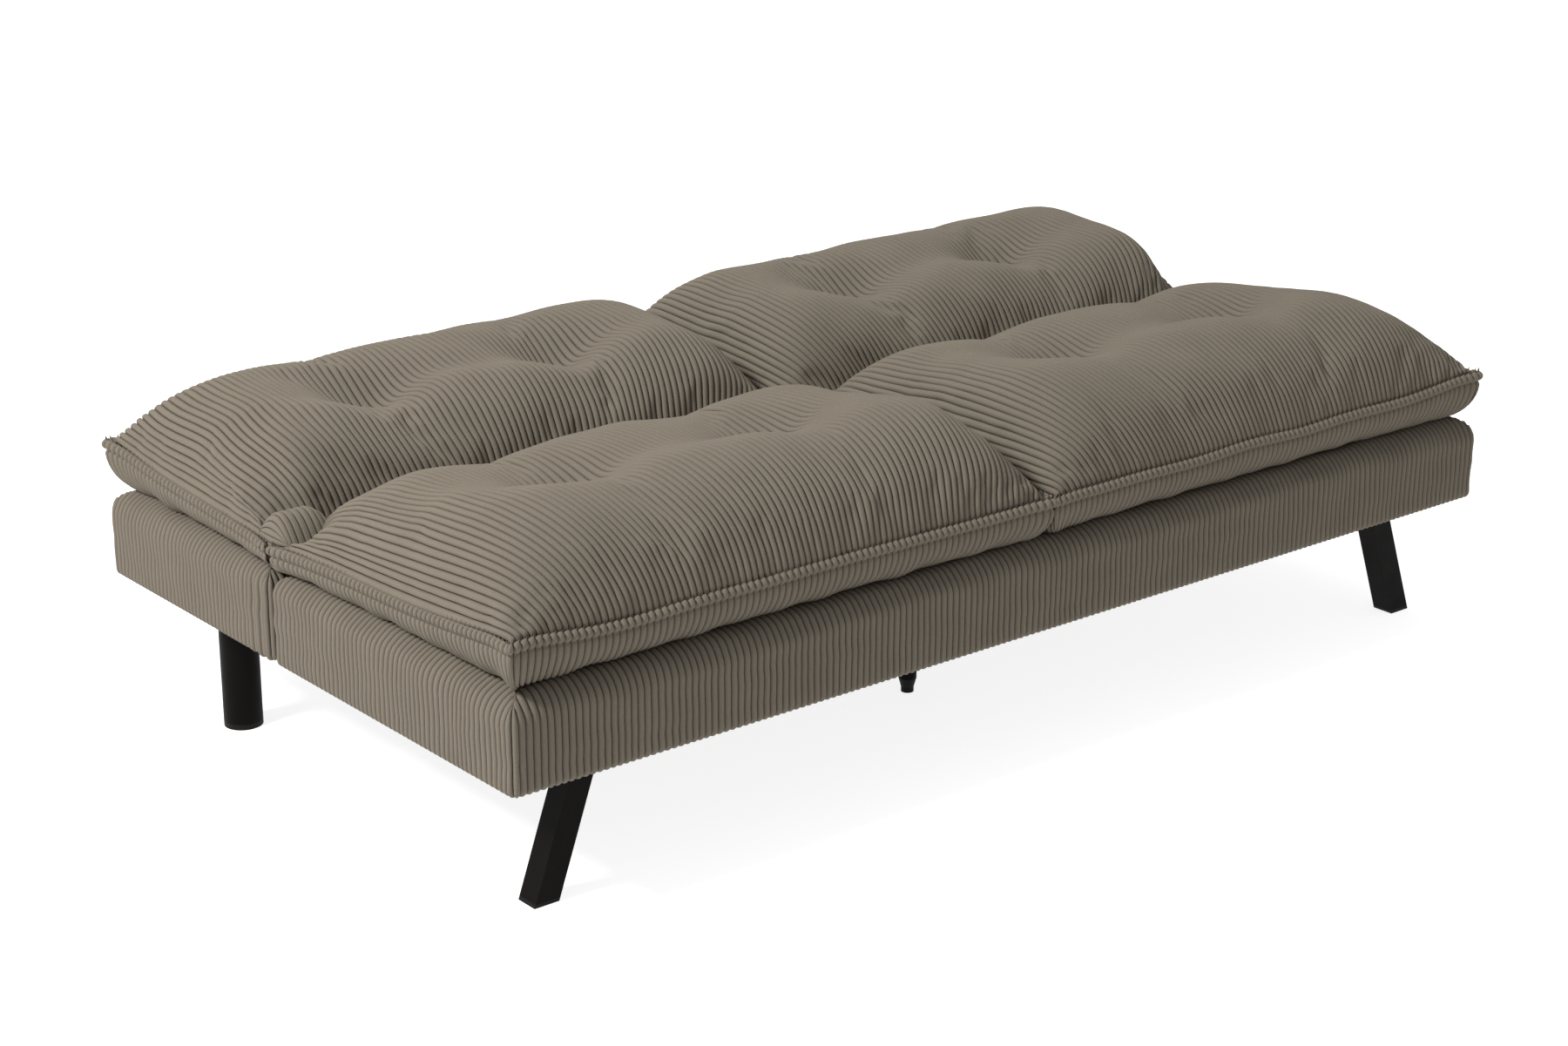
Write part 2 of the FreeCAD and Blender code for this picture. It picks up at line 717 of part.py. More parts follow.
def seat_base():
    radii = (outer_edge_r, inner_edge_r)
    leans = (0.0, 0.0)
    slots = hinge_slot(-1.0, seat_plate_in, rail_in)
    frame = timber_frame(seat_y, leans, rail_in)
    leg_y = seat_y[0] + leg_foot_front
    leg_x = leg_foot_x - leg_splay * plate_low
    plate_holes = plate_bolt_places(leg_x, leg_y, leg_plate_x, leg_plate_y)
    centre_y = hinge_y - centre_leg_back
    centre_holes = plate_bolt_places(0.0, centre_y, centre_rail_t, centre_plate_y)
    arm_places = [(arm_x, hinge_y + place) for place in arm_bolt_places]
    leg_bolts = both_sides([upright_bolt(x, y, plate_low) for x, y in plate_holes])
    leg_bolts += [upright_bolt(x, y, plate_low) for x, y in centre_holes]
    arm_bolts = both_sides([upright_bolt(x, y, arm_low) for x, y in arm_places])
    bores = both_sides([
        upright_bolt(x, y, arm_low - 1.0, fit_play) for x, y in plate_holes + arm_places
    ])
    centre_bores = [upright_bolt(x, y, arm_low - 1.0, fit_play) for x, y in centre_holes]
    side_bores = both_sides(hinge_bolt_rods(-1.0, seat_plate_in, fit_play))

    save("seat_cover", base_cover(seat_y, radii, leans, slots))
    save("seat_foam", base_foam(seat_y, radii, leans, slots))
    save("seat_front_rail", frame["near_rail"])
    save("seat_rear_rail", frame["far_rail"])
    save("seat_side_rails", [cut_all(s, side_bores) for s in frame["side_rails"]])
    save("seat_centre_rail", cut_all(frame["centre_rail"], centre_bores))
    save("seat_end_boards", [cut_all(s, bores) for s in frame["end_boards"]])
    save("seat_slats", frame["slats"])
    save("seat_frame_screws", frame["screws"])
    save("seat_dust_cover", cut_all(dust_cover(seat_y), bores + centre_bores))

    long_x = leg_plate_x / 2.0
    long_y = leg_plate_y / 2.0
    plate = block(leg_x - long_x, leg_x + long_x, leg_y - long_y, leg_y + long_y, plate_low, plate_top)
    save("front_leg_plates", both_sides([cut_all(plate, bores)]))
    long_x = centre_rail_t / 2.0
    long_y = centre_plate_y / 2.0
    plate = block(-long_x, long_x, centre_y - long_y, centre_y + long_y, plate_low, plate_top)
    save("centre_leg_plate", cut_all(plate, centre_bores))
    save("leg_bolts", leg_bolts)
    save("arm_bolts", arm_bolts)
    arm = cut_all(rear_arm(), bores)
    save("arm_pads", both_sides([cut_all(pad, bores) for pad in arm_pads()]))
    for side, place in (("right", lambda s: s), ("left", mirrored)):
        save("front_leg_" + side, place(front_leg()))
        save("front_foot_" + side, place(front_foot()))
        save("rear_arm_" + side, place(arm))
        save("rear_leg_" + side, place(rear_leg()))
        save("rear_foot_" + side, place(rear_foot()))
    save("centre_leg", centre_leg())
    save("centre_foot", centre_foot())
    edge = half - gusset_end
    save("hinge_gusset", block(
        -edge, edge, seat_y[1], seat_y[1] + gusset_t, underside + gusset_low, top - inner_edge_r,
    ))


def back_base():
    radii = (inner_edge_r, outer_edge_r)
    leans = (0.0, far_face_lean)
    slots = hinge_slot(1.0, back_arm_in, back_arm_out)
    frame = timber_frame(back_y, leans, back_arm_out)
    side_bores = both_sides(hinge_bolt_rods(1.0, back_arm_in, fit_play))
    save("back_cover", base_cover(back_y, radii, leans, slots))
    save("back_foam", base_foam(back_y, radii, leans, slots))
    save("back_near_rail", frame["near_rail"])
    save("back_far_rail", frame["far_rail"])
    save("back_side_rails", [cut_all(s, side_bores) for s in frame["side_rails"]])
    save("back_centre_rail", frame["centre_rail"])
    save("back_end_boards", frame["end_boards"])
    save("back_slats", frame["slats"])
    save("back_frame_screws", frame["screws"])
    save("back_dust_cover", dust_cover(back_y))


def hinges():
    save("hinge_pivots", both_sides([hinge_pivot()]))
    save("pawl_pins", both_sides([pawl_pin()]))
    save("seat_hinge_bolts", both_sides(hinge_bolts(-1.0, seat_plate_in)))
    save("back_hinge_bolts", both_sides(hinge_bolts(1.0, back_arm_in)))
    for side, place in (("right", lambda s: s), ("left", mirrored)):
        save("hinge_seat_plate_" + side, place(seat_hinge_plate()))
        save("hinge_back_arm_" + side, place(back_hinge_arm()))
        save("pawl_" + side, place(pawl()))
        save("pawl_spring_" + side, place(pawl_spring()))


def pillows():
    for section in ("seat", "back"):
        casing, fill, ties = pillow_parts(section)
        for side, place in (("right", lambda s: s), ("left", mirrored)):
            save(section + "_pillow_" + side, place(casing))
            save(section + "_pillow_fill_" + side, place(fill))
        save(section + "_tuft_ties", both_sides(ties))


os.makedirs("parts", exist_ok=True)
seat_base()
back_base()
hinges()
pillows()
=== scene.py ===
import math

import bmesh
import bpy
import numpy as np
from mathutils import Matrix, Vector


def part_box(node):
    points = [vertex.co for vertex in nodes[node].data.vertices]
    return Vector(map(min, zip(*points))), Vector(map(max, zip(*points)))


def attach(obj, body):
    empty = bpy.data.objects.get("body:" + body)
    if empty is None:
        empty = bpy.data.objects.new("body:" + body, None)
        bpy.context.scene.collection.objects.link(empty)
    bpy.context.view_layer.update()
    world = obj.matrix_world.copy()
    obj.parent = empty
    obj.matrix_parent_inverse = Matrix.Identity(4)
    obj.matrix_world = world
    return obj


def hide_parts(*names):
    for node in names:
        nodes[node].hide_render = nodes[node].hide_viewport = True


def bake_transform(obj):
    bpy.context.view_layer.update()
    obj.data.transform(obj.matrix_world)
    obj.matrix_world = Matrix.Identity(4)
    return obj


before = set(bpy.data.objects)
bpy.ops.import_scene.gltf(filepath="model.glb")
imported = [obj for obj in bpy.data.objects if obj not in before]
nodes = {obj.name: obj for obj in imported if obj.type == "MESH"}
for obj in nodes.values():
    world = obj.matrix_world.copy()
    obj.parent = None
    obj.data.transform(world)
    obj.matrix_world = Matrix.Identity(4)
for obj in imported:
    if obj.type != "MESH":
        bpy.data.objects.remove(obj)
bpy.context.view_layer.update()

# ---- Studio ------------------------------------------------------------------------------------
# A white acrylic sweep lit a little from below, under soft daylight, with one strong light beyond
# the left end, so light rakes across the wales and the faces toward the front are the darkest.


def linear(hex_colour):
    """sRGB hex to linear RGBA."""
    channels = [int(hex_colour[i:i + 2], 16) / 255 for i in (0, 2, 4)]
    return [c / 12.92 if c <= 0.04045 else ((c + 0.055) / 1.055) ** 2.4 for c in channels] + [1.0]


def add(tree, kind, settings, **sockets):
    """Adds a node, sets its properties, and fills or links its inputs. A socket is named with
    underscores for spaces, or in_N by its number."""
    made = tree.nodes.new(kind)
    for key, value in settings.items():
        setattr(made, key, value)
    for key, value in sockets.items():
        if key.startswith("in_"):
            socket = made.inputs[int(key[3:])]
        else:
            socket = made.inputs[key.replace("_", " ")]
        if isinstance(value, bpy.types.NodeSocket):
            tree.links.new(value, socket)
        else:
            socket.default_value = value
    return made


def new_material(name):
    """A material with its node tree empty but for the output; returns both."""
    material = bpy.data.materials.new(name)
    material.use_nodes = True
    material.node_tree.nodes.clear()
    return material, material.node_tree


def finish_material(tree, shader):
    add(tree, "ShaderNodeOutputMaterial", {}, Surface=shader.outputs[0])


def link_mesh(name, mesh):
    """Puts a mesh into the scene as a piece of this name."""
    piece = bpy.data.objects.new(name, mesh)
    bpy.context.scene.collection.objects.link(piece)
    return piece


floor_reach = 14.0
floor_mesh = bpy.data.meshes.new("studio_floor")
floor_mesh.from_pydata(
    [(-floor_reach, -floor_reach, 0), (floor_reach, -floor_reach, 0),
     (floor_reach, floor_reach, 0), (-floor_reach, floor_reach, 0)],
    [], [(0, 1, 2, 3)],
)
floor = link_mesh("studio_floor", floor_mesh)
white_floor, tree = new_material("matt_white_backdrop")
finish_material(tree, add(
    tree, "ShaderNodeBsdfPrincipled", {}, Base_Color=linear("b4b4b4"), Roughness=0.9,
    Emission_Color=linear("ffffff"), Emission_Strength=0.85,
))
floor.data.materials.append(white_floor)

world = bpy.data.worlds.new("studio")
bpy.context.scene.world = world
world.use_nodes = True
world.node_tree.nodes["Background"].inputs["Color"].default_value = (1.0, 1.0, 1.0, 1.0)
world.node_tree.nodes["Background"].inputs["Strength"].default_value = 0.45


def soft_light(name, place, aim, size, power):
    """A flat lamp at a place, turned to face the aim."""
    lamp = bpy.data.lights.new(name, "AREA")
    lamp.shape = "RECTANGLE"
    lamp.size, lamp.size_y = size
    lamp.energy = power
    holder = bpy.data.objects.new(name, lamp)
    bpy.context.scene.collection.objects.link(holder)
    holder.location = place
    way = [a - p for a, p in zip(aim, place)]
    flat = math.hypot(way[0], way[1])
    holder.rotation_euler = (
        math.atan2(flat, -way[2]), 0.0, math.atan2(-way[0], way[1]),
    )


soft_light("key_light", (-4.2, 0.3, 3.9), (0.0, 0.0, 0.3), (1.4, 1.1), 358.0)
soft_light("overhead_light", (0.6, 1.4, 4.0), (0.0, 0.0, 0.3), (4.0, 3.0), 60.0)

camera_azimuth = math.radians(-39.07)
camera_elevation = math.radians(19.5)
camera_data = bpy.data.cameras.new("camera")
camera_data.lens = 71.12
camera_data.sensor_width = 36.0
camera = bpy.data.objects.new("camera", camera_data)
bpy.context.scene.collection.objects.link(camera)
camera.location = (-2.8026, -3.376, 1.7575)
camera.rotation_euler = (math.pi / 2 - camera_elevation, 0.0, camera_azimuth)
bpy.context.scene.camera = camera
bpy.context.scene.view_settings.view_transform = "Standard"


# ---- Timber frames inside the bases ------------------------------------------------------------
# Planed pine rails and slats with birch plywood boards, screwed together. The upholstery hides
# them all. Pine is a warm pale brown with straight grain along each board.


def timber_material(name, light, dark, ring_mm):
    """Sawn and planed wood: stretched noise gives the grain, with a satin surface."""
    material, tree = new_material(name)
    place = add(tree, "ShaderNodeTexCoord", {})
    stretched = add(
        tree, "ShaderNodeMapping", {}, Vector=place.outputs["Object"], Scale=(0.06, 1.0, 1.0),
    )
    grain = add(
        tree, "ShaderNodeTexNoise", {}, Vector=stretched.outputs[0],
        Scale=1000.0 / ring_mm, Detail=4.0, Distortion=0.6,
    )
    colour = add(
        tree, "ShaderNodeMix", {"data_type": "RGBA"}, in_0=grain.outputs["Fac"],
        in_6=linear(light), in_7=linear(dark),
    )
    relief = add(
        tree, "ShaderNodeBump", {}, Height=grain.outputs["Fac"], Strength=0.3, Distance=0.0006,
    )
    finish_material(tree, add(
        tree, "ShaderNodeBsdfPrincipled", {}, Base_Color=colour.outputs[2], Roughness=0.55,
        Normal=relief.outputs[0],
    ))
    return material


def dress(material, *names):
    """Gives CAD nodes a finish."""
    for name in names:
        mesh = nodes[name].data
        mesh.materials.clear()
        mesh.materials.append(material)


pine = timber_material("planed_pine", "d9b98a", "b98f5c", 9.0)
birch = timber_material("birch_plywood", "dcc29a", "c3a06f", 5.0)
dress(
    pine, "seat_front_rail", "seat_rear_rail", "seat_side_rails", "seat_centre_rail",
    "seat_slats", "back_near_rail", "back_far_rail", "back_side_rails", "back_centre_rail",
    "back_slats",
)
dress(birch, "seat_end_boards", "back_end_boards")


# ---- Dust covers -------------------------------------------------------------------------------
# A black spun-bonded polypropylene cloth, stapled under each frame, closes it from below. It is
# matt and hangs a little slack inside its taut stapled edges. Its fibres are too fine to show, so
# their mottle is drawn 1.5 mm across.
spun_cloth, tree = new_material("spun_bonded_polypropylene")
place = add(tree, "ShaderNodeTexCoord", {})
fibres = add(
    tree, "ShaderNodeTexNoise", {}, Vector=place.outputs["Object"], Scale=1000.0 / 1.5,
    Detail=5.0,
)
colour = add(
    tree, "ShaderNodeMix", {"data_type": "RGBA"}, in_0=fibres.outputs["Fac"],
    in_6=linear("101010"), in_7=linear("2b2b2b"),
)
relief = add(
    tree, "ShaderNodeBump", {}, Height=fibres.outputs["Fac"], Strength=0.4, Distance=0.0004,
)
finish_material(tree, add(
    tree, "ShaderNodeBsdfPrincipled", {}, Base_Color=colour.outputs[2], Roughness=0.8,
    Normal=relief.outputs[0],
))
dust_cloth_step = 0.012
dust_cloth_lift = 0.0007
dust_cloth_slack = 0.0026
taut_edge = 0.05
staple_pitch = 0.060
staple_pull = 0.0005
staple_reach = 0.018


def ease(t):
    """A smooth step from 0 to 1 as t goes from 0 to 1."""
    t = np.clip(t, 0.0, 1.0)
    return t * t * (3.0 - 2.0 * t)


def ripple(seed, length, *places):
    """Smooth unevenness between about -1 and 1 whose waves are near the given length."""
    draw = np.random.default_rng(seed)
    total = 0.0
    for _ in range(6):
        way = draw.normal(size=len(places))
        way *= 2.0 * math.pi / (length * draw.uniform(0.7, 1.5) * np.linalg.norm(way))
        total = total + np.sin(sum(w * p for w, p in zip(way, places)) + draw.uniform(0, 6.283))
    return total / 3.0


def grid_quads(rows, columns, closed=False):
    """Faces of a grid of vertices; closed joins the last row to the first."""
    row = np.arange(rows if closed else rows - 1)
    column = np.arange(columns - 1)
    here = (row[:, None] * columns + column[None, :]).ravel()
    after = (((row + 1) % rows)[:, None] * columns + column[None, :]).ravel()
    return np.stack([here, after, after + 1, here + 1], axis=1)


def skin(name, parts, turned=False):
    """One smooth mesh from (vertices, faces, wale heights) parts, with the heights kept on it."""
    points, faces, heights, count = [], [], [], 0
    for part_points, part_faces, part_heights in parts:
        points.append(part_points.reshape(-1, 3))
        faces.append(part_faces + count)
        heights.append(part_heights.ravel())
        count += len(points[-1])
    faces = np.concatenate(faces)
    if turned:
        faces = faces[:, ::-1]
    mesh = bpy.data.meshes.new(name)
    mesh.from_pydata(np.concatenate(points).tolist(), [], faces.tolist())
    wale = mesh.attributes.new("wale", "FLOAT", "POINT")
    wale.data.foreach_set("value", np.concatenate(heights).astype(np.float32))
    work = bmesh.new()
    work.from_mesh(mesh)
    bmesh.ops.remove_doubles(work, verts=work.verts, dist=0.00002)
    bmesh.ops.dissolve_degenerate(work, dist=0.00001, edges=work.edges)
    work.to_mesh(mesh)
    work.free()
    mesh.shade_smooth()
    return link_mesh(name, mesh)


def dust_cover(name, body, node):
    """The cloth under a frame: taut at its stapled edges, a little slack between them."""
    low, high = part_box(node)
    columns, rows = (int(round((high[k] - low[k]) / dust_cloth_step)) + 1 for k in (0, 1))
    x = np.linspace(low.x, high.x, columns)[:, None]
    y = np.linspace(low.y, high.y, rows)[None, :]
    from_end = np.minimum(x - low.x, high.x - x)
    from_side = np.minimum(y - low.y, high.y - y)
    edge = np.minimum(from_end, from_side)
    run = np.where(from_side < from_end, x, y)
    pulls = staple_pull * np.cos(2.0 * math.pi * run / staple_pitch) * np.exp(-edge / staple_reach)
    uneven = 1.0 + 0.4 * ripple(7, 0.20, x, y)
    slack = dust_cloth_slack * ease((edge - taut_edge) / 0.10) * uneven
    z = high.z - dust_cloth_lift - slack + pulls
    grid = np.stack(np.broadcast_arrays(x, y, z), axis=2)
    cloth = skin(name, [(grid, grid_quads(columns, rows)[:, ::-1], np.ones((columns, rows)))])
    cloth.data.materials.append(spun_cloth)
    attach(cloth, body)
    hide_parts(node)


dust_cover("seat_dust_cloth", "seat_section", "seat_dust_cover")
dust_cover("back_dust_cloth", "back_section", "back_dust_cover")


# ---- Foam --------------------------------------------------------------------------------------
# A slab of pale open-cell polyurethane foam lies over the slats of each base, with its soft edges
# turned down over the rails. It is dead matt. Its cut cells are finer than shows, so they are
# drawn 2 mm across.
foam, tree = new_material("open_cell_foam")
place = add(tree, "ShaderNodeTexCoord", {})
cells = add(
    tree, "ShaderNodeTexVoronoi", {}, Vector=place.outputs["Object"], Scale=1000.0 / 2.0,
)
colour = add(
    tree, "ShaderNodeMix", {"data_type": "RGBA"}, in_0=cells.outputs["Distance"],
    in_6=linear("cfc29a"), in_7=linear("efe6c8"),
)
relief = add(
    tree, "ShaderNodeBump", {}, Height=cells.outputs["Distance"], Strength=0.5, Distance=0.001,
)
finish_material(tree, add(
    tree, "ShaderNodeBsdfPrincipled", {}, Base_Color=colour.outputs[2], Roughness=0.95,
    Normal=relief.outputs[0],
))

base_low, base_high = (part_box("seat_cover")[i].z for i in (0, 1))
# The far face of the back base leans in by this much at its foot, from this high up.
back_lean = 0.009
lean_height = 0.08
wale_pitch = 0.0105
# Lines that draw one wale, from one groove at -1 towards the next at 1.
wale_cuts = np.array([-1.0, -0.84, -0.55, -0.18, 0.18, 0.55, 0.84])
wale_wander = 0.0012
foam_thick = 0.010
foam_corner = 0.014
foam_round = 0.034
foam_side_gap = 0.0015
foam_top_gap = 0.0045
foam_hem_rise = 0.002
foam_shoulder = 0.060
foam_band_reach = 0.160
foam_slab_inset = 0.150
foam_slab_lap = 0.0002
foam_hem_taper = 0.003


def wale_lines(count):
    """Lines drawn along count wales: how many wales in each lies, and its height from 0 in a
    groove to 1 on a ridge."""
    height = np.sqrt(1.0 - np.abs(wale_cuts) ** 2.6)
    place = (np.arange(count)[:, None] + (wale_cuts + 1.0) / 2.0).ravel()
    return np.append(place, count), np.append(np.tile(height, count), 0.0)


def base_band(x_sides, y_sides, corner, seed=0):
    """Wale lines round a rounded rectangle: each one's place in plan, its inward way, its wale
    height and how far round it is."""
    (x0, x1), (y0, y1) = x_sides, y_sides
    wide, deep = x1 - x0 - 2.0 * corner, y1 - y0 - 2.0 * corner
    turn = math.pi / 2.0 * corner
    runs = [wide, turn, deep, turn, wide, turn, deep, turn]
    count = int(round(sum(runs) / wale_pitch))
    line, height = wale_lines(count)
    line, height = line[:-1], height[:-1]
    along = line / count * sum(runs) + wale_wander * ripple(seed, 0.12, line * wale_pitch)
    along = along % sum(runs)
    plan = np.zeros((len(along), 2))
    inward = np.zeros((len(along), 2))
    centres = [(x1 - corner, y0 + corner), (x1 - corner, y1 - corner),
               (x0 + corner, y1 - corner), (x0 + corner, y0 + corner)]
    start = 0.0
    for i, run in enumerate(runs):
        here = (along >= start) & (along < start + run)
        t = along[here] - start
        side = i // 2
        facing = side * math.pi / 2.0 - math.pi / 2.0
        if i % 2:
            angle = facing + t / corner
            plan[here] = np.array(centres[side]) + corner * np.stack(
                [np.cos(angle), np.sin(angle)], axis=1)
        else:
            angle = np.full(len(t), facing)
            last = np.array(centres[side - 1])
            out = np.array([math.cos(facing), math.sin(facing)])
            plan[here] = last + corner * out + t[:, None] * np.array([-out[1], out[0]])
        inward[here] = -np.stack([np.cos(angle), np.sin(angle)], axis=1)
        start += run
    return plan, inward, height, line * wale_pitch


def foam_pad(name, body, node, lean):
    """The foam of one base: a slab over the slats with its edges turned down over the rails."""
    low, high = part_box(node)
    plan, inward, _, _ = base_band((low.x, high.x), (low.y, high.y), foam_corner)
    plan, inward = plan[::len(wale_cuts)], inward[::len(wale_cuts)]
    count = len(plan)
    faces_far = np.clip(-inward[:, 1] * (1.0 if body == "back_section" else -1.0), 0.0, 1.0)
    foot, top, underside = low.z + foam_hem_rise, high.z - foam_top_gap, high.z - foam_thick
    outer = [(foam_side_gap, foot), (foam_side_gap, low.z + foam_shoulder),
             (foam_side_gap, high.z - foam_round)]
    for turn in np.linspace(0.0, math.pi / 2.0, 6)[1:]:
        outer.append((
            foam_side_gap + (foam_round - foam_side_gap) * (1.0 - math.cos(turn)),
            top - (foam_round - foam_top_gap) * (1.0 - math.sin(turn)),
        ))
    outer.append((foam_band_reach, top))
    inner = [(foam_band_reach, underside), (foam_round, underside),
             (foam_thick, high.z - foam_round), (foam_thick - foam_hem_taper, foot), outer[0]]
    rows = []
    for inset, level in outer + inner:
        tuck = lean * faces_far * max(0.0, 1.0 - (level - base_low) / lean_height)
        place = plan + inward * (inset + tuck)[:, None]
        rows.append(np.column_stack([
            np.clip(place[:, 0], low.x + inset, high.x - inset),
            np.clip(place[:, 1], low.y + inset, high.y - inset),
            np.full(count, level),
        ]))
    band = np.stack(rows, axis=1)
    columns, cross_rows = 40, 10
    x = np.linspace(low.x + foam_slab_inset, high.x - foam_slab_inset, columns)
    y = np.linspace(low.y + foam_slab_inset, high.y - foam_slab_inset, cross_rows)
    middle = np.stack(np.meshgrid(x, y, indexing="ij"), axis=2)
    quads, flat = grid_quads(columns, cross_rows), np.zeros((columns, cross_rows))
    pad = skin(name, [
        (band, grid_quads(count, len(rows), closed=True), np.zeros((count, len(rows)))),
        (np.dstack([middle, flat + (top - foam_slab_lap)]), quads, flat),
        (np.dstack([middle, flat + (underside + foam_slab_lap)]), quads[:, ::-1], flat),
    ])
    pad.data.materials.append(foam)
    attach(pad, body)
    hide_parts(node)


foam_pad("seat_foam_pad", "seat_section", "seat_foam", 0.0)
foam_pad("back_foam_pad", "back_section", "back_foam", back_lean)


# ---- Covers of the two bases -------------------------------------------------------------------
# Jumbo-wale corduroy, sewn as a band that runs round each base, pulled over padded edges and
# turned in under the frame. Its wales stand upright and run in over the top, mitred at corners.
wale_relief = 0.0056
cover_proud = 0.0016
cover_hem = 0.030
cover_under = 0.090
cover_corner = 0.012
cover_sink = 0.0025
bottom_round = 0.009
outer_round, inner_round, corner_round = 0.035, 0.025, 0.027
mitre_height = 0.35
cover_unevenness = 0.0011
panel_sag = 0.003
pleat_reach, pleat_pitch, pleat_depth = 0.045, 0.024, 0.0022


def corduroy_material(name, light, dark):
    """Cotton-rich jumbo corduroy: matt brushed pile on each wale, with painted shade in the
    grooves:
    the colour darkens as the wale height kept on the mesh falls towards each groove. A faint
    mottle shows where the pile leans different ways. The pile's hairs are too fine to show, so
    they are drawn as tufts 2.2 mm across."""
    material, tree = new_material(name)
    place = add(tree, "ShaderNodeTexCoord", {})
    wale = add(tree, "ShaderNodeAttribute", {"attribute_name": "wale"})
    pile = add(
        tree, "ShaderNodeTexNoise", {}, Vector=place.outputs["Object"], Scale=1000.0 / 2.2,
        Detail=3.0, Roughness=0.6,
    )
    lean = add(
        tree, "ShaderNodeTexNoise", {}, Vector=place.outputs["Object"], Scale=1000.0 / 60.0,
        Detail=2.0,
    )
    # Painted shade: the wale height from the mesh draws the colour down to the dark groove colour.
    height = add(
        tree, "ShaderNodeMapRange", {"interpolation_type": "SMOOTHSTEP"},
        Value=wale.outputs["Fac"], From_Min=0.0, From_Max=0.78, To_Min=0.0, To_Max=1.0,
    )
    pile_tone = add(
        tree, "ShaderNodeMapRange", {}, Value=pile.outputs["Fac"],
        From_Min=0.3, From_Max=0.7, To_Min=0.86, To_Max=1.0,
    )
    lean_tone = add(
        tree, "ShaderNodeMapRange", {}, Value=lean.outputs["Fac"],
        From_Min=0.3, From_Max=0.7, To_Min=0.94, To_Max=1.0,
    )
    tone = add(
        tree, "ShaderNodeMath", {"operation": "MULTIPLY"},
        in_0=pile_tone.outputs[0], in_1=lean_tone.outputs[0],
    )
    lit = add(
        tree, "ShaderNodeMath", {"operation": "MULTIPLY"},
        in_0=tone.outputs[0], in_1=height.outputs[0],
    )
    colour = add(
        tree, "ShaderNodeMix", {"data_type": "RGBA"}, in_0=lit.outputs[0],
        in_6=linear(dark), in_7=linear(light),
    )
    relief = add(
        tree, "ShaderNodeBump", {}, Height=pile.outputs["Fac"], Strength=0.55, Distance=0.0009,
    )
    finish_material(tree, add(
        tree, "ShaderNodeBsdfPrincipled", {}, Base_Color=colour.outputs[2], Roughness=0.92,
        Normal=relief.outputs[0], Sheen_Weight=0.12, Sheen_Roughness=0.5,
        Sheen_Tint=linear("b9ab98"), Specular_IOR_Level=0.15,
    ))
    return material


# The darker colour is painted shade at the bottom of the grooves.
corduroy = corduroy_material("brushed_jumbo_corduroy", "6c655a", "2d2720")


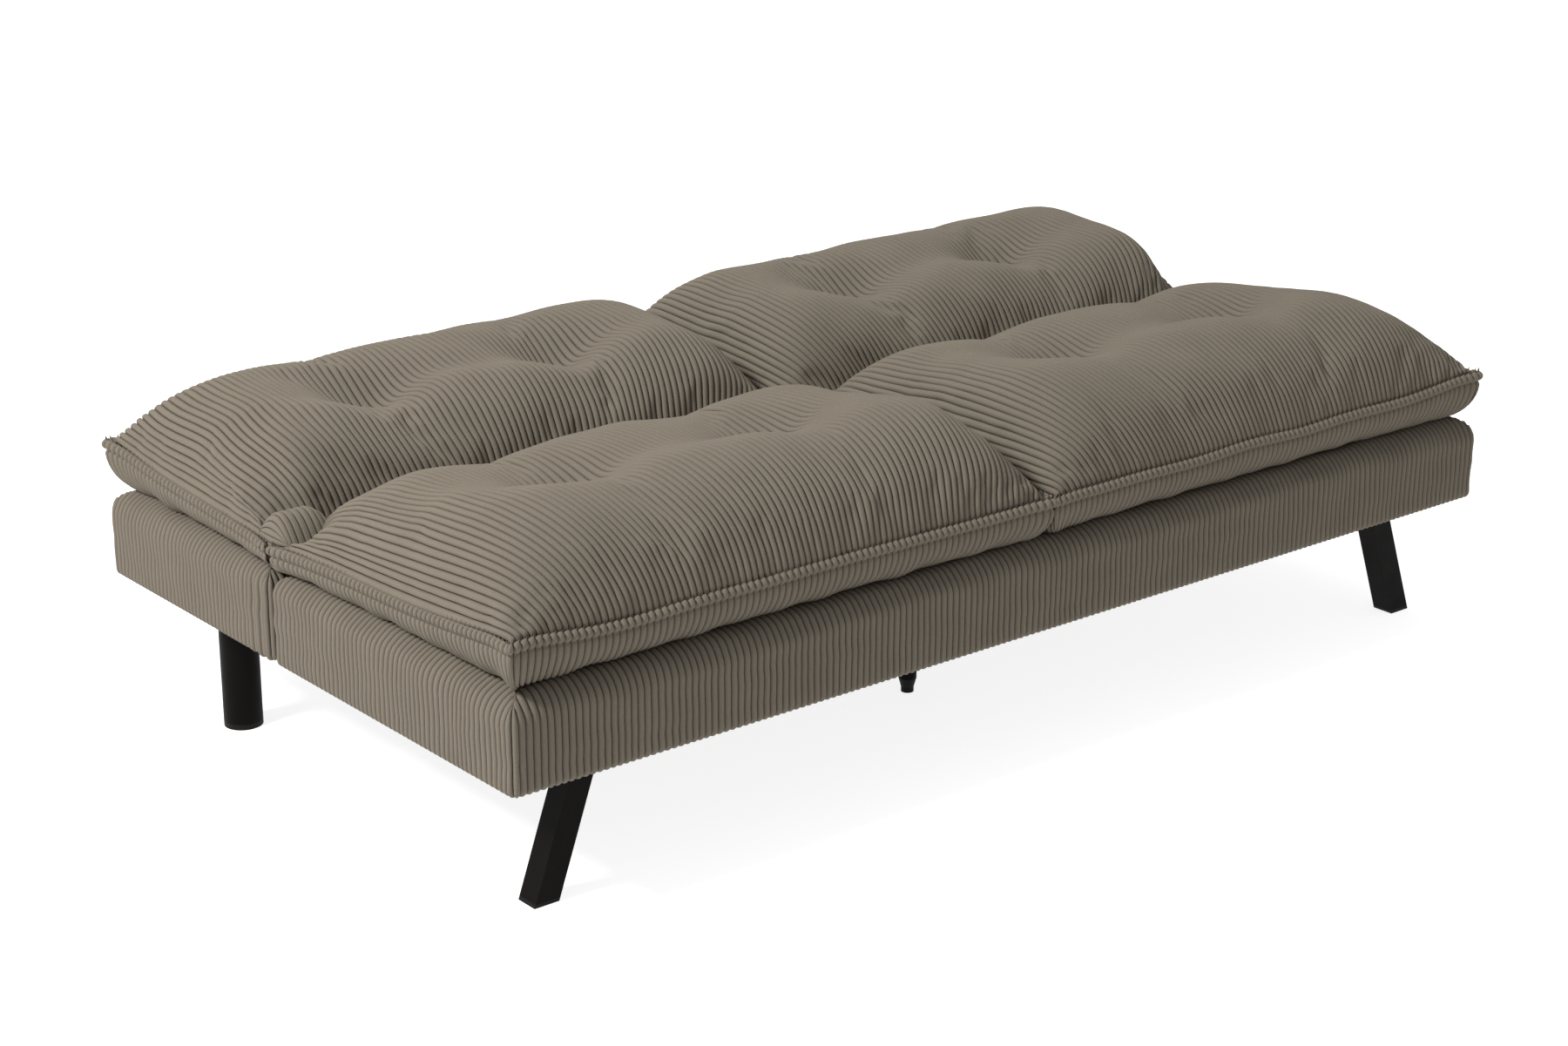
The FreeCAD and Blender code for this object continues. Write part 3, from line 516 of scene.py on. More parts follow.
def base_cover(name, body, node, hinge_side, lean, seed):
    """The upholstery cover of one base, as a band with its hem and the panel under the pillows."""
    low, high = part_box(node)
    x_sides, y_sides = (low.x, high.x), (low.y, high.y)
    plan, inward, height, run = base_band(x_sides, y_sides, cover_corner, seed)
    from_hinge = np.abs(plan[:, 1] - (high.y if hinge_side > 0 else low.y))
    from_end = np.minimum(plan[:, 0] - x_sides[0], x_sides[1] - plan[:, 0])
    on_hinge = from_hinge < 0.002
    full_round = np.where(on_hinge, inner_round, outer_round)
    from_corner = np.where(on_hinge, from_end, from_hinge)
    top_round = corner_round + (full_round - corner_round) * ease((from_corner - 0.1) / 0.08)
    faces_far = np.clip(-inward[:, 1] * (1.0 if hinge_side < 0 else -1.0), 0.0, 1.0)
    tuck = lean * faces_far
    z0, z1 = base_low, base_high
    # The section, from the hem under the frame, up the side and in over the top.
    inset, level = [], []
    for share in (0.0, 0.6):
        inset.append(np.full(len(run), cover_hem + (bottom_round - cover_hem) * share))
        level.append(np.full(len(run), z0))
    for turn in np.linspace(0.0, math.pi / 2.0, 4):
        inset.append(np.full(len(run), bottom_round * (1.0 - math.sin(turn))))
        level.append(np.full(len(run), z0 + bottom_round * (1.0 - math.cos(turn))))
    for share in (0.2, 0.4, 0.6, 0.8):
        inset.append(np.zeros(len(run)))
        level.append(z0 + bottom_round + share * (z1 - top_round - z0 - bottom_round))
    for turn in np.linspace(0.0, math.pi / 2.0, 8):
        inset.append(top_round * (1.0 - math.cos(turn)))
        level.append(z1 - top_round * (1.0 - math.sin(turn)))
    for reach in (0.046, 0.058, 0.072, cover_under):
        inset.append(np.full(len(run), reach))
        level.append(np.full(len(run), z1 - cover_sink * ease((reach - 0.05) / 0.02)))
    inset, level = np.array(inset).T, np.array(level).T
    inset = inset + tuck[:, None] * np.clip(1.0 - (level - z0) / lean_height, 0.0, 1.0)
    # Which way each point faces, from the slope of the section.
    step_in = np.gradient(inset, axis=1)
    step_up = np.gradient(level, axis=1)
    length = np.hypot(step_in, step_up)
    out_part, up_part = step_up / length, step_in / length
    up_part[:, :2] = -1.0
    out_part[:, :2] = 0.0
    place = plan[:, None, :] + inward[:, None, :] * inset[:, :, None]
    # Past the rounded corner, the wales of two sides stop where they meet on the mitre.
    lows = np.stack([x_sides[0] + inset, y_sides[0] + inset], axis=2)
    highs = np.stack([x_sides[1] - inset, y_sides[1] - inset], axis=2)
    met = np.clip(place, lows, highs)
    past_corner = inset > cover_corner
    mitred = past_corner & (np.abs(met - place).max(axis=2) > 1e-7)
    place = np.where(past_corner[:, :, None], met, place)
    centre = np.array([sum(x_sides), sum(y_sides)]) / 2.0
    diagonal = np.sign(place - centre) / math.sqrt(2.0)
    outward = np.where(mitred[:, :, None], diagonal, -inward[:, None, :])
    # On the mitre the wale height is mitre_height: the cover sinks a little there, and the
    # material paints it partly darker with the painted groove shade.
    across = np.where(mitred, mitre_height, height[:, None])
    # Uneven padding, and pleats gathered at the hinge line on the ends of the back base.
    soft = cover_unevenness * ripple(seed + 1, 0.11, run[:, None], level * 2.0 + inset * 2.0)
    soft = soft * ease((level - z0) / 0.03)
    on_end = np.abs(inward[:, 0]) > 0.99
    pleat = np.where(on_end, np.exp(-((from_hinge / pleat_reach) ** 2)), 0.0) * (hinge_side < 0)
    folds = np.sin(2.0 * math.pi * from_hinge / pleat_pitch) * pleat
    soft = soft + pleat_depth * folds[:, None] * ease((z1 - level) / 0.03)
    rise = cover_proud + (across - 1.0) * wale_relief + np.where(mitred, 0.0, soft)
    points = np.dstack([
        place + outward * (out_part * rise)[:, :, None], level + up_part * rise,
    ])
    columns, rows = 60, 16
    under_x = np.linspace(x_sides[0] + cover_under, x_sides[1] - cover_under, columns)
    under_y = np.linspace(y_sides[0] + cover_under, y_sides[1] - cover_under, rows)
    panel = np.stack(np.meshgrid(under_x, under_y, indexing="ij"), axis=2)
    sag = z1 - panel_sag + 0.0004 * ripple(seed + 2, 0.2, panel[:, :, 0], panel[:, :, 1])
    cover = skin(name, [
        (points, grid_quads(*across.shape, closed=True), across),
        (np.dstack([panel, sag]), grid_quads(columns, rows), np.ones((columns, rows))),
    ])
    cover.data.materials.append(corduroy)
    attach(cover, body)
    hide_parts(node)


base_cover("seat_base_cover", "seat_section", "seat_cover", 1, 0.0, 11)
base_cover("back_base_cover", "back_section", "back_cover", -1, back_lean, 21)


# ---- Pillows -----------------------------------------------------------------------------------
# Four pillows of the same corduroy, two sewn to each base. Each has a top panel, drawn down at
# two blind tufts, and a band that tapers in to the base below a beaded, top-stitched seam.
seat_side, back_side = -1.0, 1.0
hinge_y = 0.058
hinge_level = 0.380
fold_slope = math.tan(math.radians(38.0))
fold_gap = 0.0045
tuft_places = (0.285, 0.612)
tuft_row = {seat_side: 0.280, back_side: 0.210}
# By section and side: heights of the lobes near the hinge and far from it, and how far the outer
# end takes to rise.
pillow_fill = {
    (seat_side, -1.0): (0.464, 0.500, 0.200), (seat_side, 1.0): (0.474, 0.500, 0.220),
    (back_side, -1.0): (0.486, 0.488, 0.190), (back_side, 1.0): (0.488, 0.492, 0.120),
}
seam_inset = 0.009
seam_rise = 0.005
seam_height = 0.037
seam_slope = 0.021
corner_lift = 0.011
seam_wander = 0.0015
pocket_depth = 0.026
# How far each edge of the top takes to rise, and how fast: by the hinge line, far from it, at
# the outer end and by the middle of the sofa.
near_run, near_power = 0.170, 0.68
near_run_cut = {seat_side: 0.0, back_side: 0.050}
far_run = {seat_side: 0.185, back_side: 0.145}
far_power = {seat_side: 0.60, back_side: 0.50}
end_run_cut, end_power = 0.040, 0.52
middle_run, middle_power = 0.130, 0.50
# Sinking round the tufts: a channel joins the two, a column runs away from the hinge line at
# each, and each tuft has a wide hollow with a sharp pucker at its middle.
channel_depth, channel_width = 0.014, 0.050
column_depth, column_width = 0.012, 0.070
column_fade = {seat_side: 0.005, back_side: 0.010}
hollow_depth, hollow_across, hollow_along = 0.020, 0.080, 0.060
pucker_depth, pucker_across, pucker_along = 0.010, 0.030, 0.024


def dome(t, power):
    """A rounded edge that rises from 0 to 1; a low power makes it stand up faster."""
    t = np.clip(t, 0.0, 1.0)
    return (1.0 - (1.0 - t) ** 2) ** power


class Pillow:
    """Sizes of one pillow, drawn right-handed: x away from the middle of the sofa, out away from
    the hinge line."""

    def __init__(self, section, side, seed):
        low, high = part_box(("back" if section > 0 else "seat") + "_pillow_right")
        self.section, self.side, self.seed = section, side, seed
        self.x0, self.x1 = low.x, high.x
        self.near, self.far = sorted(abs(y - hinge_y) for y in (low.y, high.y))
        self.row = tuft_row[section]

    def near_edge(self, x):
        """The edge by the hinge line, which stands back where the hinges pass."""
        pocket = ease((x - self.x1 + 0.080) / 0.03) - ease((x - self.x1 + 0.024) / 0.014)
        return self.near + pocket_depth * pocket

    def seam(self, x, v):
        """Height of the seam, lifted a little at the outer corners."""
        level = base_high + seam_height + seam_slope * v
        lift = np.exp(-(((self.x1 - x) / 0.09) ** 2)) * np.exp(-(((1.0 - v) * 0.45 / 0.10) ** 2))
        return level + corner_lift * lift + seam_wander * ripple(self.seed, 0.25, x, v * 0.45)

    def shape(self, x, v):
        """Places on the top panel: x is from the middle, v is 0 at the hinge and 1 far from it."""
        near = self.near_edge(x) + seam_inset
        far = self.far - seam_inset
        out = near + (far - near) * v
        hinge_run = near_run - near_run_cut[self.section] * ease((x - 0.74) / 0.08)
        full = dome((out - near) / hinge_run, near_power)
        full = full * dome((far - out) / far_run[self.section], far_power[self.section])
        rear, front, end_run = pillow_fill[self.section, self.side]
        end_run = end_run - end_run_cut * ease(out / 0.30)
        full = full * dome((self.x1 - seam_inset - x) / end_run, end_power)
        full = full * dome((x - self.x0 - seam_inset) / middle_run, middle_power)
        crown = rear + (front - rear) * ease((out - self.row + 0.12) / 0.24)
        seam = self.seam(x, v) + seam_rise
        first, last = tuft_places
        between = ease((x - first + 0.20) / 0.20) * ease((last + 0.17 - x) / 0.17)
        dip = channel_depth * between * np.exp(-(((out - self.row) / channel_width) ** 2))
        for tuft_x in tuft_places:
            across, along = x - tuft_x, out - self.row
            column = column_depth - column_fade[self.section] * ease(along / 0.16)
            dip = dip + column * np.exp(-((across / column_width) ** 2))
            hollow = np.exp(-((across / hollow_across) ** 2) - (along / hollow_along) ** 2)
            dip = dip + hollow_depth * hollow
            spread = 1.0 + (across / pucker_across) ** 2 + (along / pucker_along) ** 2
            dip = dip + pucker_depth / spread
        z = seam + (crown - seam) * full - dip * ease(full * 1.25 - 0.15)
        return np.stack([x, out, z], axis=-1)

    def fold_room(self, points):
        """Keeps points clear of the other section over the hinge's whole travel."""
        least = (points[..., 2] - hinge_level) * fold_slope + fold_gap
        points[..., 1] = np.maximum(points[..., 1], least)
        return points

    def placed(self, points):
        """Points in the frame of the whole sofa."""
        return np.stack([
            self.side * points[..., 0],
            hinge_y + self.section * points[..., 1],
            points[..., 2],
        ], axis=-1)


def even_places(line, count):
    """Shares along a line of points that cut its length into equal steps."""
    steps = np.linalg.norm(np.diff(line, axis=0), axis=1)
    length = np.append(0.0, np.cumsum(steps))
    return np.interp(np.linspace(0.0, length[-1], count), length, np.linspace(0.0, 1.0, len(line)))


fill_pressure = 2.0
panel_excess = 0.012
most_push = 0.004
settle_steps = 20


def puffed(name, grid, held):
    """The panel after its fill has pushed it out, by cloth simulation, with held points fixed."""
    rows, columns = grid.shape[:2]
    mesh = bpy.data.meshes.new(name)
    mesh.from_pydata(grid.reshape(-1, 3).tolist(), [], grid_quads(rows, columns).tolist())
    sheet = link_mesh(name, mesh)
    pins = sheet.vertex_groups.new(name="held")
    pins.add([int(i) for i in np.flatnonzero(held.ravel())], 1.0, "REPLACE")
    cloth = sheet.modifiers.new("cloth", "CLOTH")
    cloth.settings.vertex_group_mass = "held"
    cloth.settings.use_pressure = True
    cloth.settings.uniform_pressure_force = fill_pressure
    cloth.settings.effector_weights.gravity = 0.0
    cloth.settings.shrink_min = -panel_excess
    cloth.settings.quality = 6
    cloth.settings.mass = 0.4
    cloth.settings.tension_stiffness = 25.0
    cloth.settings.compression_stiffness = 25.0
    cloth.settings.shear_stiffness = 12.0
    cloth.settings.bending_stiffness = 2.0
    cloth.settings.air_damping = 4.0
    scene = bpy.context.scene
    for step in range(settle_steps):
        scene.frame_set(step + 1)
    view = sheet.evaluated_get(bpy.context.evaluated_depsgraph_get())
    after = np.array([v.co for v in view.data.vertices]).reshape(rows, columns, 3)
    scene.frame_set(1)
    bpy.data.objects.remove(sheet)
    moved = after - grid
    far = np.linalg.norm(moved, axis=2, keepdims=True)
    return grid + moved * most_push * np.tanh(far / most_push) / np.maximum(far, 1e-9)


def smooth_lines(places, count):
    """Matrix that reads a smooth curve through count points at places counted in points."""
    first = np.clip(np.floor(places).astype(int), 0, count - 2)
    t = places - first
    weights = np.zeros((len(places), count + 2))
    shares = (
        -0.5 * t + t ** 2 - 0.5 * t ** 3,
        1.0 - 2.5 * t ** 2 + 1.5 * t ** 3,
        0.5 * t + 2.0 * t ** 2 - 1.5 * t ** 3,
        -0.5 * t ** 2 + 0.5 * t ** 3,
    )
    for k, share in enumerate(shares):
        weights[np.arange(len(places)), first + k] += share
    weights[:, 1] += 2.0 * weights[:, 0]
    weights[:, 2] -= weights[:, 0]
    weights[:, -2] += 2.0 * weights[:, -1]
    weights[:, -3] -= weights[:, -1]
    return weights[:, 1:-1]


def surface_ways(grid):
    """Unit normals of a grid of points."""
    way = np.cross(np.gradient(grid, axis=0), np.gradient(grid, axis=1))
    return way / np.maximum(np.linalg.norm(way, axis=2, keepdims=True), 1e-12)


top_wales = 90
panel_rows = 72
tuft_hold = 0.016
wale_sway = 0.0020
fill_lumps = 0.0014
side_dents = 0.0007
sewn_relief, sewn_depth = 0.4, 0.0005


def top_panel(pillow):
    """Wale lines of the top panel: places and wale heights."""
    # A coarse grid of even steps over the panel, for the simulation.
    across, along = 66, 40
    mid = 0.5 * (tuft_places[0] + tuft_places[1])
    v_line = np.linspace(0.0, 1.0, 300)
    v_places = even_places(pillow.shape(np.full(len(v_line), mid), v_line), along)
    coarse = np.zeros((across, along, 3))
    x_line = np.linspace(pillow.x0 + seam_inset, pillow.x1 - seam_inset, 400)
    for j, v in enumerate(v_places):
        share = even_places(pillow.shape(x_line, np.full(len(x_line), v)), across)
        x = np.interp(share, np.linspace(0, 1, len(x_line)), x_line)
        coarse[:, j] = pillow.shape(x, np.full(across, v))
    held = np.zeros((across, along), bool)
    held[[0, -1], :] = True
    held[:, [0, -1]] = True
    for tuft_x in tuft_places:
        held |= np.hypot(coarse[:, :, 0] - tuft_x, coarse[:, :, 1] - pillow.row) < tuft_hold
    coarse = puffed("pillow_panel", coarse, held)
    # The wale lines, read from the coarse grid.
    line, height = wale_lines(top_wales)
    fine_rows = smooth_lines(line / top_wales * (across - 1), across)
    fine_columns = smooth_lines(np.linspace(0.0, along - 1, panel_rows), along)
    fine = np.einsum("ui,vj,ijk->uvk", fine_rows, fine_columns, coarse)
    u, v = line[:, None] / top_wales, np.linspace(0.0, 1.0, panel_rows)[None, :]
    long, deep = u * 0.9, v * 0.6
    inside = ease(np.minimum(u, 1.0 - u) / 0.08) * ease(np.minimum(v, 1.0 - v) / 0.10)
    slope = np.gradient(fine, axis=0)
    slope /= np.maximum(np.linalg.norm(slope, axis=2, keepdims=True), 1e-12)
    seed = pillow.seed
    sway = wale_sway * ripple(seed + 1, 0.22, long, deep)
    fine = fine + slope * (sway * inside)[:, :, None]
    way = surface_ways(fine)
    soft = fill_lumps * ripple(seed + 2, 0.10, long, deep)
    at_side = np.exp(-((1.0 - u) * 0.9 / 0.12) ** 2)
    soft = soft + side_dents * ripple(seed + 3, 0.028, u * 0.2, deep) * at_side
    fine = fine + way * (soft * inside)[:, :, None]
    # The wales stand proud, but lie flatter where the stitches of the seam hold them down.
    ridge = (height[:, None] - 1.0) * wale_relief
    sewn = np.minimum(v, 1.0 - v) * 0.6 < 0.002
    rise = np.where(sewn, ridge * sewn_relief - sewn_depth, cover_proud + ridge)
    points = pillow.fold_room(fine + way * rise[:, :, None])
    return points, np.broadcast_to(height[:, None], rise.shape)


bead = 0.0062
underside_gap = 0.0003
band_reach = 0.075
band_taper = 0.043
ear_reach, ear_width = 0.005, 0.03
side_bow = 0.004
middle_press = 0.75
middle_inset = 0.004
end_lumps, side_lumps = 0.0026, 0.0016


def band_profile():
    """The band's section, as rows of: inset, height above the seam in metres, share of the way
    down from the seam to the base, and share of the wales' relief."""
    rows = [(0.0125, 0.0015, 0.0, 0.3), (0.0095, 0.0050, 0.0, 0.8)]
    for angle in np.radians(np.linspace(105.0, -65.0, 8)):
        rows.append((bead - bead * math.cos(angle), 0.0005 + bead * math.sin(angle), 0.0, 1.45))
    rows.append((0.0065, -0.0072, 0.0, 0.7))
    rows.append((0.0050, -0.0100, 0.0, 0.9))
    for turn in np.radians(np.linspace(0.0, 90.0, 11)):
        rows.append((
            0.0040 + band_taper * (1.0 - math.cos(turn)) ** 0.9,
            -0.013 * (1.0 - math.sin(turn)), math.sin(turn), 1.0,
        ))
    rows.append((0.060, 0.0, 1.0, 1.0))
    rows.append((band_reach, 0.0, 1.0, 1.0))
    return np.array(rows).T


def side_band(pillow):
    """Wale lines of the band round a pillow, as a closed loop: places and wale heights."""
    inset, above, down, relief = band_profile()
    corners = [
        (pillow.x0, pillow.far), (pillow.x1, pillow.far),
        (pillow.x1, pillow.near_edge(pillow.x1)), (pillow.x0, pillow.near),
    ]
    points, heights = [], []
    for k, edge in enumerate(("far", "end", "hinge", "middle")):
        a, b = np.array(corners[k]), np.array(corners[(k + 1) % 4])
        axis = k % 2
        span = abs(b[axis] - a[axis])
        tangent = np.zeros(2)
        tangent[axis] = np.sign(b[axis] - a[axis])
        inward = np.array([tangent[1], -tangent[0]])
        count = int(round(span / wale_pitch))
        line, height = wale_lines(count)
        line, height = line[:-1], height[:-1]
        s = line / count * span
        plan = a + tangent * s[:, None]
        if edge == "hinge":
            plan[:, 1] = pillow.near_edge(plan[:, 0])
        # The corners stand out as ears, and the sides between them pull in.
        by_start, by_end = (np.exp(-((gap / ear_width) ** 2)) for gap in (s, span - s))
        ear = ear_reach * (by_start + by_end)
        way = np.where(s < span / 2.0, -1.0, 1.0)
        outer = 0.0 if edge == "hinge" else 1.0
        bow = side_bow * np.sin(math.pi * s / span) * outer
        plan = plan + inward * (bow - ear * outer)[:, None] + tangent * (way * ear)[:, None]
        start, end = s[:, None], (span - s)[:, None]
        d = np.tile(inset, (len(s), 1))
        if edge == "middle":
            # The two pillows press against each other here, so the band tapers less.
            pressed = middle_press * ease(np.minimum(start, end) / 0.05)
            pressed = pressed * (1.0 - ease((d - 0.05) / 0.025))
            d = np.where(down > 0.0, d - pressed * (d - middle_inset), d)
        # Near a corner the lines move along the side, to meet their neighbours on the mitre.
        shift = (np.sqrt(start ** 2 + d ** 2) - start) - (np.sqrt(end ** 2 + d ** 2) - end)
        place = plan[:, None, :] + inward * d[:, :, None] + tangent * shift[:, :, None]
        v = (plan[:, 1] - pillow.near) / (pillow.far - pillow.near)
        seam = pillow.seam(plan[:, 0], np.clip(v, 0.0, 1.0))
        level = seam[:, None] + above[None, :] - down[None, :] * (seam[:, None] - base_high)
        step_in = np.gradient(np.broadcast_to(d, level.shape), axis=1)
        step_up = np.gradient(level, axis=1)
        length = np.maximum(np.hypot(step_in, step_up), 1e-9)
        corner_fade = ease(np.minimum(start, end) / 0.010)
        lumps = end_lumps if edge == "end" else side_lumps
        soft = lumps * ripple(pillow.seed + 5 + k, 0.07, start, level * 1.5)
        soft = soft * corner_fade * down[None, :] * (1.0 - ease((d - 0.04) / 0.01))
        rise = cover_proud * corner_fade + soft
        rise = rise + (height[:, None] - 1.0) * wale_relief * relief[None, :]
        outward = -inward
        z = level - step_in / length * rise * np.sign(-step_up + 1e-12)
        turned = -step_up / length
        points.append(np.dstack([place + outward * (turned * rise)[:, :, None], z]))
        heights.append(np.broadcast_to(height[:, None], rise.shape))
    return pillow.fold_room(np.concatenate(points)), np.concatenate(heights)


def make_pillow(section, side, seed):
    """One pillow, as its top panel, its band and the cloth under it."""
    pillow = Pillow(section, side, seed)
    where = ("back" if section > 0 else "seat", "right" if side > 0 else "left")
    node = "{}_pillow_{}".format(*where)
    top, top_height = top_panel(pillow)
    band, band_height = side_band(pillow)
    columns, rows, lap = 24, 12, 0.002
    x = np.linspace(pillow.x0 + band_reach - lap, pillow.x1 - band_reach + lap, columns)
    y = np.linspace(pillow.near + band_reach - lap, pillow.far - band_reach + lap, rows)
    under = np.stack(np.meshgrid(x, y, indexing="ij"), axis=2)
    flat = np.full(under.shape[:2], base_high + underside_gap)
    parts = [
        (pillow.placed(top), grid_quads(*top_height.shape), top_height),
        (pillow.placed(band), grid_quads(*band_height.shape, closed=True), band_height),
        (pillow.placed(np.dstack([under, flat])), grid_quads(columns, rows)[:, ::-1],
         np.ones((columns, rows))),
    ]
    made = skin(node + "_cover", parts, turned=section * side < 0)
    made.data.materials.append(corduroy)
    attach(made, where[0] + "_section")
    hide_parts(node, "{}_pillow_fill_{}".format(*where))


for section in (seat_side, back_side):
    for side in (-1.0, 1.0):
        make_pillow(section, side, int(300 + 40 * section + 10 * side))


# ---- Hinges and pawls --------------------------------------------------------------------------
# A pressed-steel click-clack hinge stands at each end, its toothed head between the pillows, with
# a sprung pawl. Dull zinc plate; the bolts, screws, rivets and pins are brighter zinc.


def plain_material(name, light, dark, patch_mm, relief_mm, metallic, roughness, shine=0.5):
    """One even finish: a faint patchy tone and roughness over a fine surface texture."""
    material, tree = new_material(name)
    place = add(tree, "ShaderNodeTexCoord", {})
    patches = add(
        tree, "ShaderNodeTexNoise", {}, Vector=place.outputs["Object"],
        Scale=1000.0 / patch_mm, Detail=4.0,
    )
    grains = add(
        tree, "ShaderNodeTexNoise", {}, Vector=place.outputs["Object"],
        Scale=1000.0 / relief_mm, Detail=2.0,
    )
    colour = add(
        tree, "ShaderNodeMix", {"data_type": "RGBA"}, in_0=patches.outputs["Fac"],
        in_6=linear(dark), in_7=linear(light),
    )
    gloss = add(
        tree, "ShaderNodeMapRange", {}, Value=patches.outputs["Fac"], From_Min=0.3,
        From_Max=0.7, To_Min=roughness - 0.05, To_Max=roughness + 0.05,
    )
    relief = add(
        tree, "ShaderNodeBump", {}, Height=grains.outputs["Fac"], Strength=0.25,
        Distance=relief_mm * 0.0002,
    )
    finish_material(tree, add(
        tree, "ShaderNodeBsdfPrincipled", {}, Base_Color=colour.outputs[2],
        Metallic=metallic, Roughness=gloss.outputs[0], Normal=relief.outputs[0],
        Specular_IOR_Level=shine,
    ))
    return material


dull_zinc = plain_material("dull_zinc_plate", "7c7c7e", "5b5b5e", 14.0, 1.2, 1.0, 0.5)
bright_zinc = plain_material("bright_zinc_plate", "c3c3c0", "a3a3a2", 6.0, 0.8, 1.0, 0.32)
spring_wire = plain_material("drawn_spring_wire", "b4b4b8", "8e8e93", 3.0, 0.5, 1.0, 0.25)
dress(
    dull_zinc, "hinge_back_arm_left", "hinge_back_arm_right", "hinge_seat_plate_left",
    "hinge_seat_plate_right", "pawl_left", "pawl_right",
)
dress(spring_wire, "pawl_spring_left", "pawl_spring_right")
dress(
    bright_zinc, "hinge_pivots", "pawl_pins", "seat_hinge_bolts", "back_hinge_bolts",
    "seat_frame_screws", "back_frame_screws", "arm_bolts", "leg_bolts",
)


# ---- Hinge tongues -----------------------------------------------------------------------------
# A tongue of the corduroy is sewn between the two pillows at each end. It lies over the hinge
# head and hangs down outside it.
tongue_start_x, tongue_start_z = 0.815, 0.385
tongue_flat, tongue_rise = 0.061, 0.0135
tongue_fold_x, tongue_fold_z = 0.876, 0.3635
tongue_fold_out, tongue_fold_up = 0.019, 0.0350
tongue_fall_in, tongue_fall = 0.007, 0.0455
tongue_half_width, tongue_taper = 0.044, 0.006
tongue_side_drop, tongue_side_tuck = 0.040, 0.010
tongue_columns = 25


def hinge_tongue(name, side):
    """One tongue: its line from the middle of the sofa outward and down, then its width."""
    flat = [
        (tongue_start_x + tongue_flat * t,
         tongue_start_z + tongue_rise * math.sin(min(t / 0.4, 1.0) * math.pi / 2.0))
        for t in np.linspace(0.0, 1.0, 30)
    ]
    bend = [
        (tongue_fold_x + tongue_fold_out * math.sin(a),
         tongue_fold_z + tongue_fold_up * math.cos(a))
        for a in np.linspace(0.0, math.pi / 2.0, 24)[1:]
    ]
    fall = [
        (tongue_fold_x + tongue_fold_out - tongue_fall_in * t, tongue_fold_z - tongue_fall * t)
        for t in np.linspace(0.0, 1.0, 14)[1:]
    ]
    path = np.array(flat + bend + fall)
    steps = np.append(0.0, np.cumsum(np.linalg.norm(np.diff(path, axis=0), axis=1)))
    wales = int(round(steps[-1] / wale_pitch))
    line, height = wale_lines(wales)
    along = np.minimum(line / wales, 1.0) * steps[-1]
    x, z = np.interp(along, steps, path[:, 0]), np.interp(along, steps, path[:, 1])
    way = np.stack([np.gradient(z, along + 1e-9 * line), -np.gradient(x, along)], axis=1)
    way = -way / np.linalg.norm(way, axis=1, keepdims=True)
    rise = (height - 1.0) * wale_relief * 0.5
    across = np.linspace(-1.0, 1.0, tongue_columns)
    reach = tongue_half_width - tongue_taper * ease((0.40 - z) / 0.08)
    bow = across[None, :] ** 2
    fallen = ease((0.40 - z) / 0.04)[:, None]
    points = np.stack([
        side * ((x + way[:, 0] * rise)[:, None] - tongue_side_tuck * bow * fallen),
        hinge_y + reach[:, None] * across[None, :],
        (z + way[:, 1] * rise)[:, None] - tongue_side_drop * bow * (1.0 - fallen),
    ], axis=2)
    heights = np.broadcast_to(height[:, None], points.shape[:2])
    tongue = skin(name, [(points, grid_quads(*points.shape[:2]), heights)], turned=side > 0)
    tongue.data.materials.append(corduroy)
    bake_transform(tongue)


hinge_tongue("hinge_tongue_left", -1.0)
hinge_tongue("hinge_tongue_right", 1.0)


# ---- Gusset in the slit ------------------------------------------------------------------------
# A strip of the cover cloth, its flat backing showing, hangs down in the slit between the bases
# from the rear rail of the seat.
gusset_step, gusset_rows = 0.010, 12
low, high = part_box("hinge_gusset")
columns = int(round((high.x - low.x) / gusset_step)) + 1
x = np.linspace(low.x, high.x, columns)[:, None]
z = np.linspace(low.z, high.z, gusset_rows)[None, :]
y = 0.5 * (low.y + high.y) + 0.0004 * ripple(31, 0.12, x, z)
grid = np.stack(np.broadcast_arrays(x, y, z), axis=2)
gusset = skin("hinge_gusset_strip", [
    (grid, grid_quads(columns, gusset_rows), np.ones((columns, gusset_rows))),
])
gusset.data.materials.append(corduroy)
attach(gusset, "seat_section")
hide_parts("hinge_gusset")


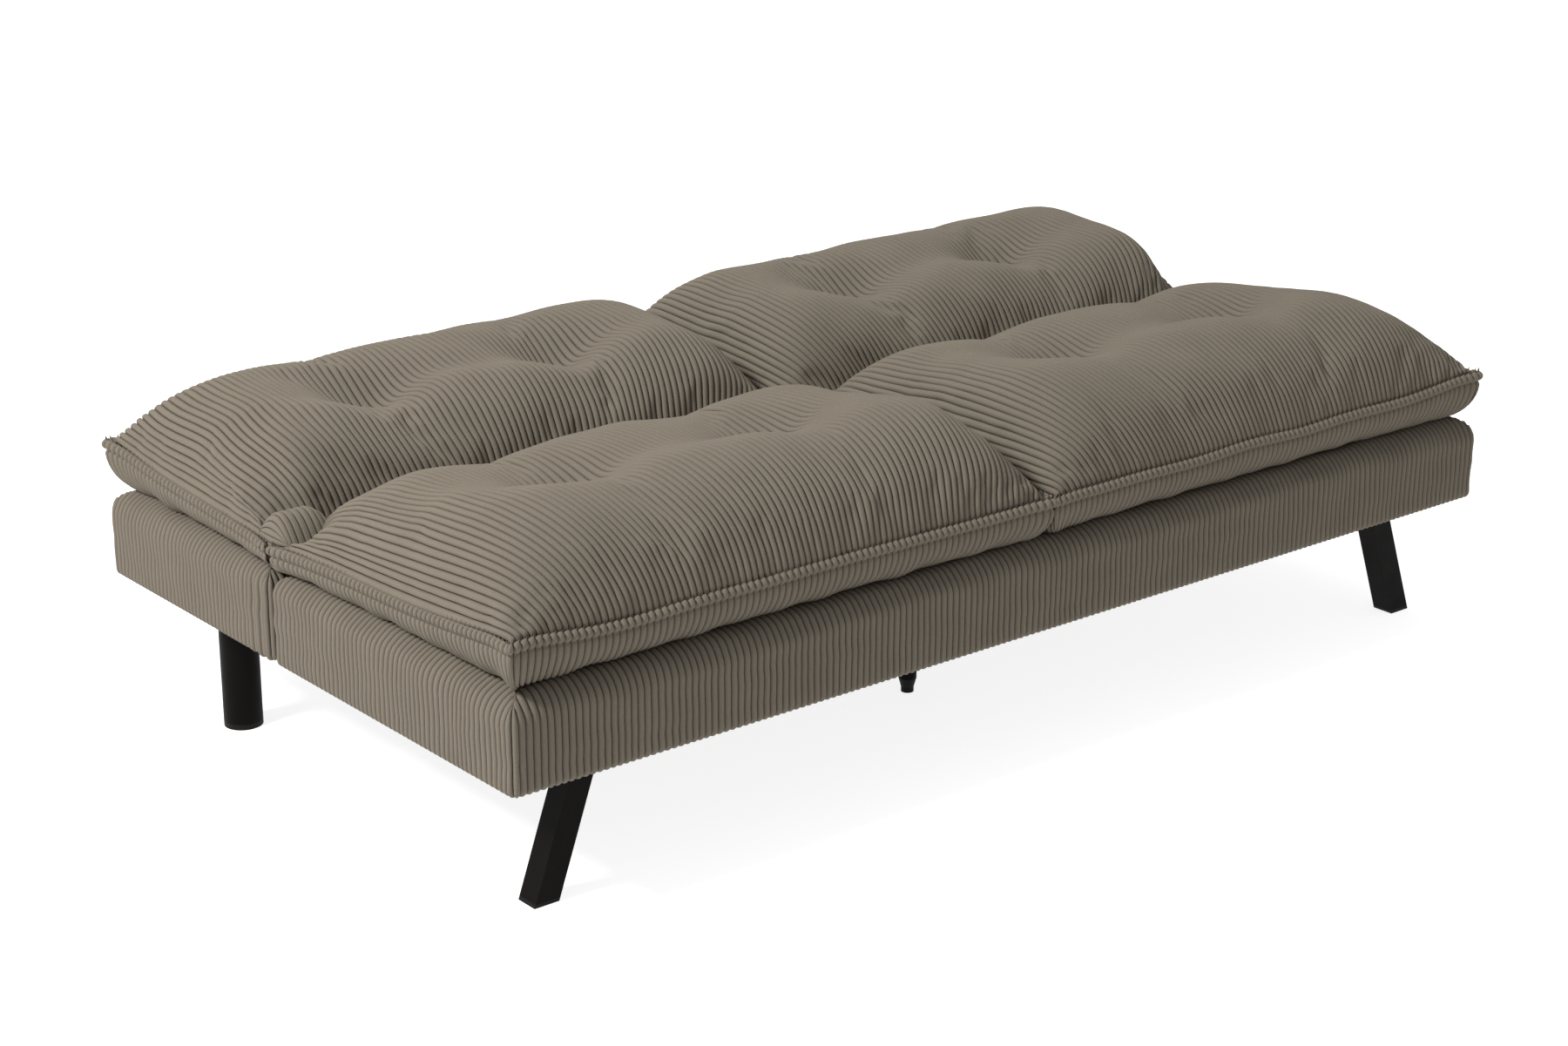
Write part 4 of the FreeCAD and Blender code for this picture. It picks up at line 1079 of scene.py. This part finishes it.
# ---- Tufting cords -----------------------------------------------------------------------------
# Two-ply waxed cord draws each tuft down to the base. Pale, with a dull waxy surface.
waxed_cord = plain_material("waxed_tufting_cord", "d8d2c0", "b3ac98", 4.0, 0.6, 0.0, 0.6)
ply_radius = 0.0009
ply_turns = 14.0
cord_height = 0.111


def tuft_cords(name, section, body, node):
    """The cords of one section, each of two plies twisted round one another."""
    parts = []
    rows, columns = 60, 9
    climb = np.linspace(0.0, 1.0, rows)
    around = np.linspace(0.0, 2.0 * math.pi, columns)[:-1]
    for place in tuft_places:
        for side in (-1.0, 1.0):
            for ply in (0.0, math.pi):
                twist = ply + 2.0 * math.pi * climb * ply_turns
                x = side * place + ply_radius * np.cos(twist)
                y = hinge_y + section * tuft_row[section] + ply_radius * np.sin(twist)
                z = base_high + climb * cord_height
                ring = np.stack([
                    x[:, None] + ply_radius * np.cos(around),
                    y[:, None] + ply_radius * np.sin(around),
                    np.broadcast_to(z[:, None], (rows, columns - 1)),
                ], axis=2)
                ring = np.concatenate([ring, ring[:, :1]], axis=1)
                quads = grid_quads(rows, columns)[:, ::-1]
                parts.append((ring, quads, np.zeros((rows, columns))))
    cords = skin(name, parts)
    cords.data.materials.append(waxed_cord)
    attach(cords, body)
    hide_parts(node)


tuft_cords("seat_tuft_cords", seat_side, "seat_section", "seat_tuft_ties")
tuft_cords("back_tuft_cords", back_side, "back_section", "back_tuft_ties")


# ---- Legs --------------------------------------------------------------------------------------
# Front legs of square tube splay out, rear legs are round tube on steel arms under the seat, and
# a thin post stands at the middle. All satin brown-black powder coat with black plastic feet.
powder_coat = plain_material(
    "brown_black_powder_coat", "0b0807", "070504", 30.0, 0.9, 0.0, 0.5, 0.06,
)
dress(
    powder_coat, "front_leg_left", "front_leg_right", "front_leg_plates", "rear_leg_left",
    "rear_leg_right", "rear_arm_left", "rear_arm_right", "centre_leg", "centre_leg_plate",
)
moulded_plastic = plain_material(
    "black_moulded_plastic", "121110", "0d0c0c", 12.0, 0.7, 0.0, 0.55, 0.12,
)
dress(
    moulded_plastic, "front_foot_left", "front_foot_right", "rear_foot_left", "rear_foot_right",
    "centre_foot",
)
black_rubber = plain_material("black_rubber", "232323", "191919", 5.0, 1.0, 0.0, 0.85)
dress(black_rubber, "arm_pads")
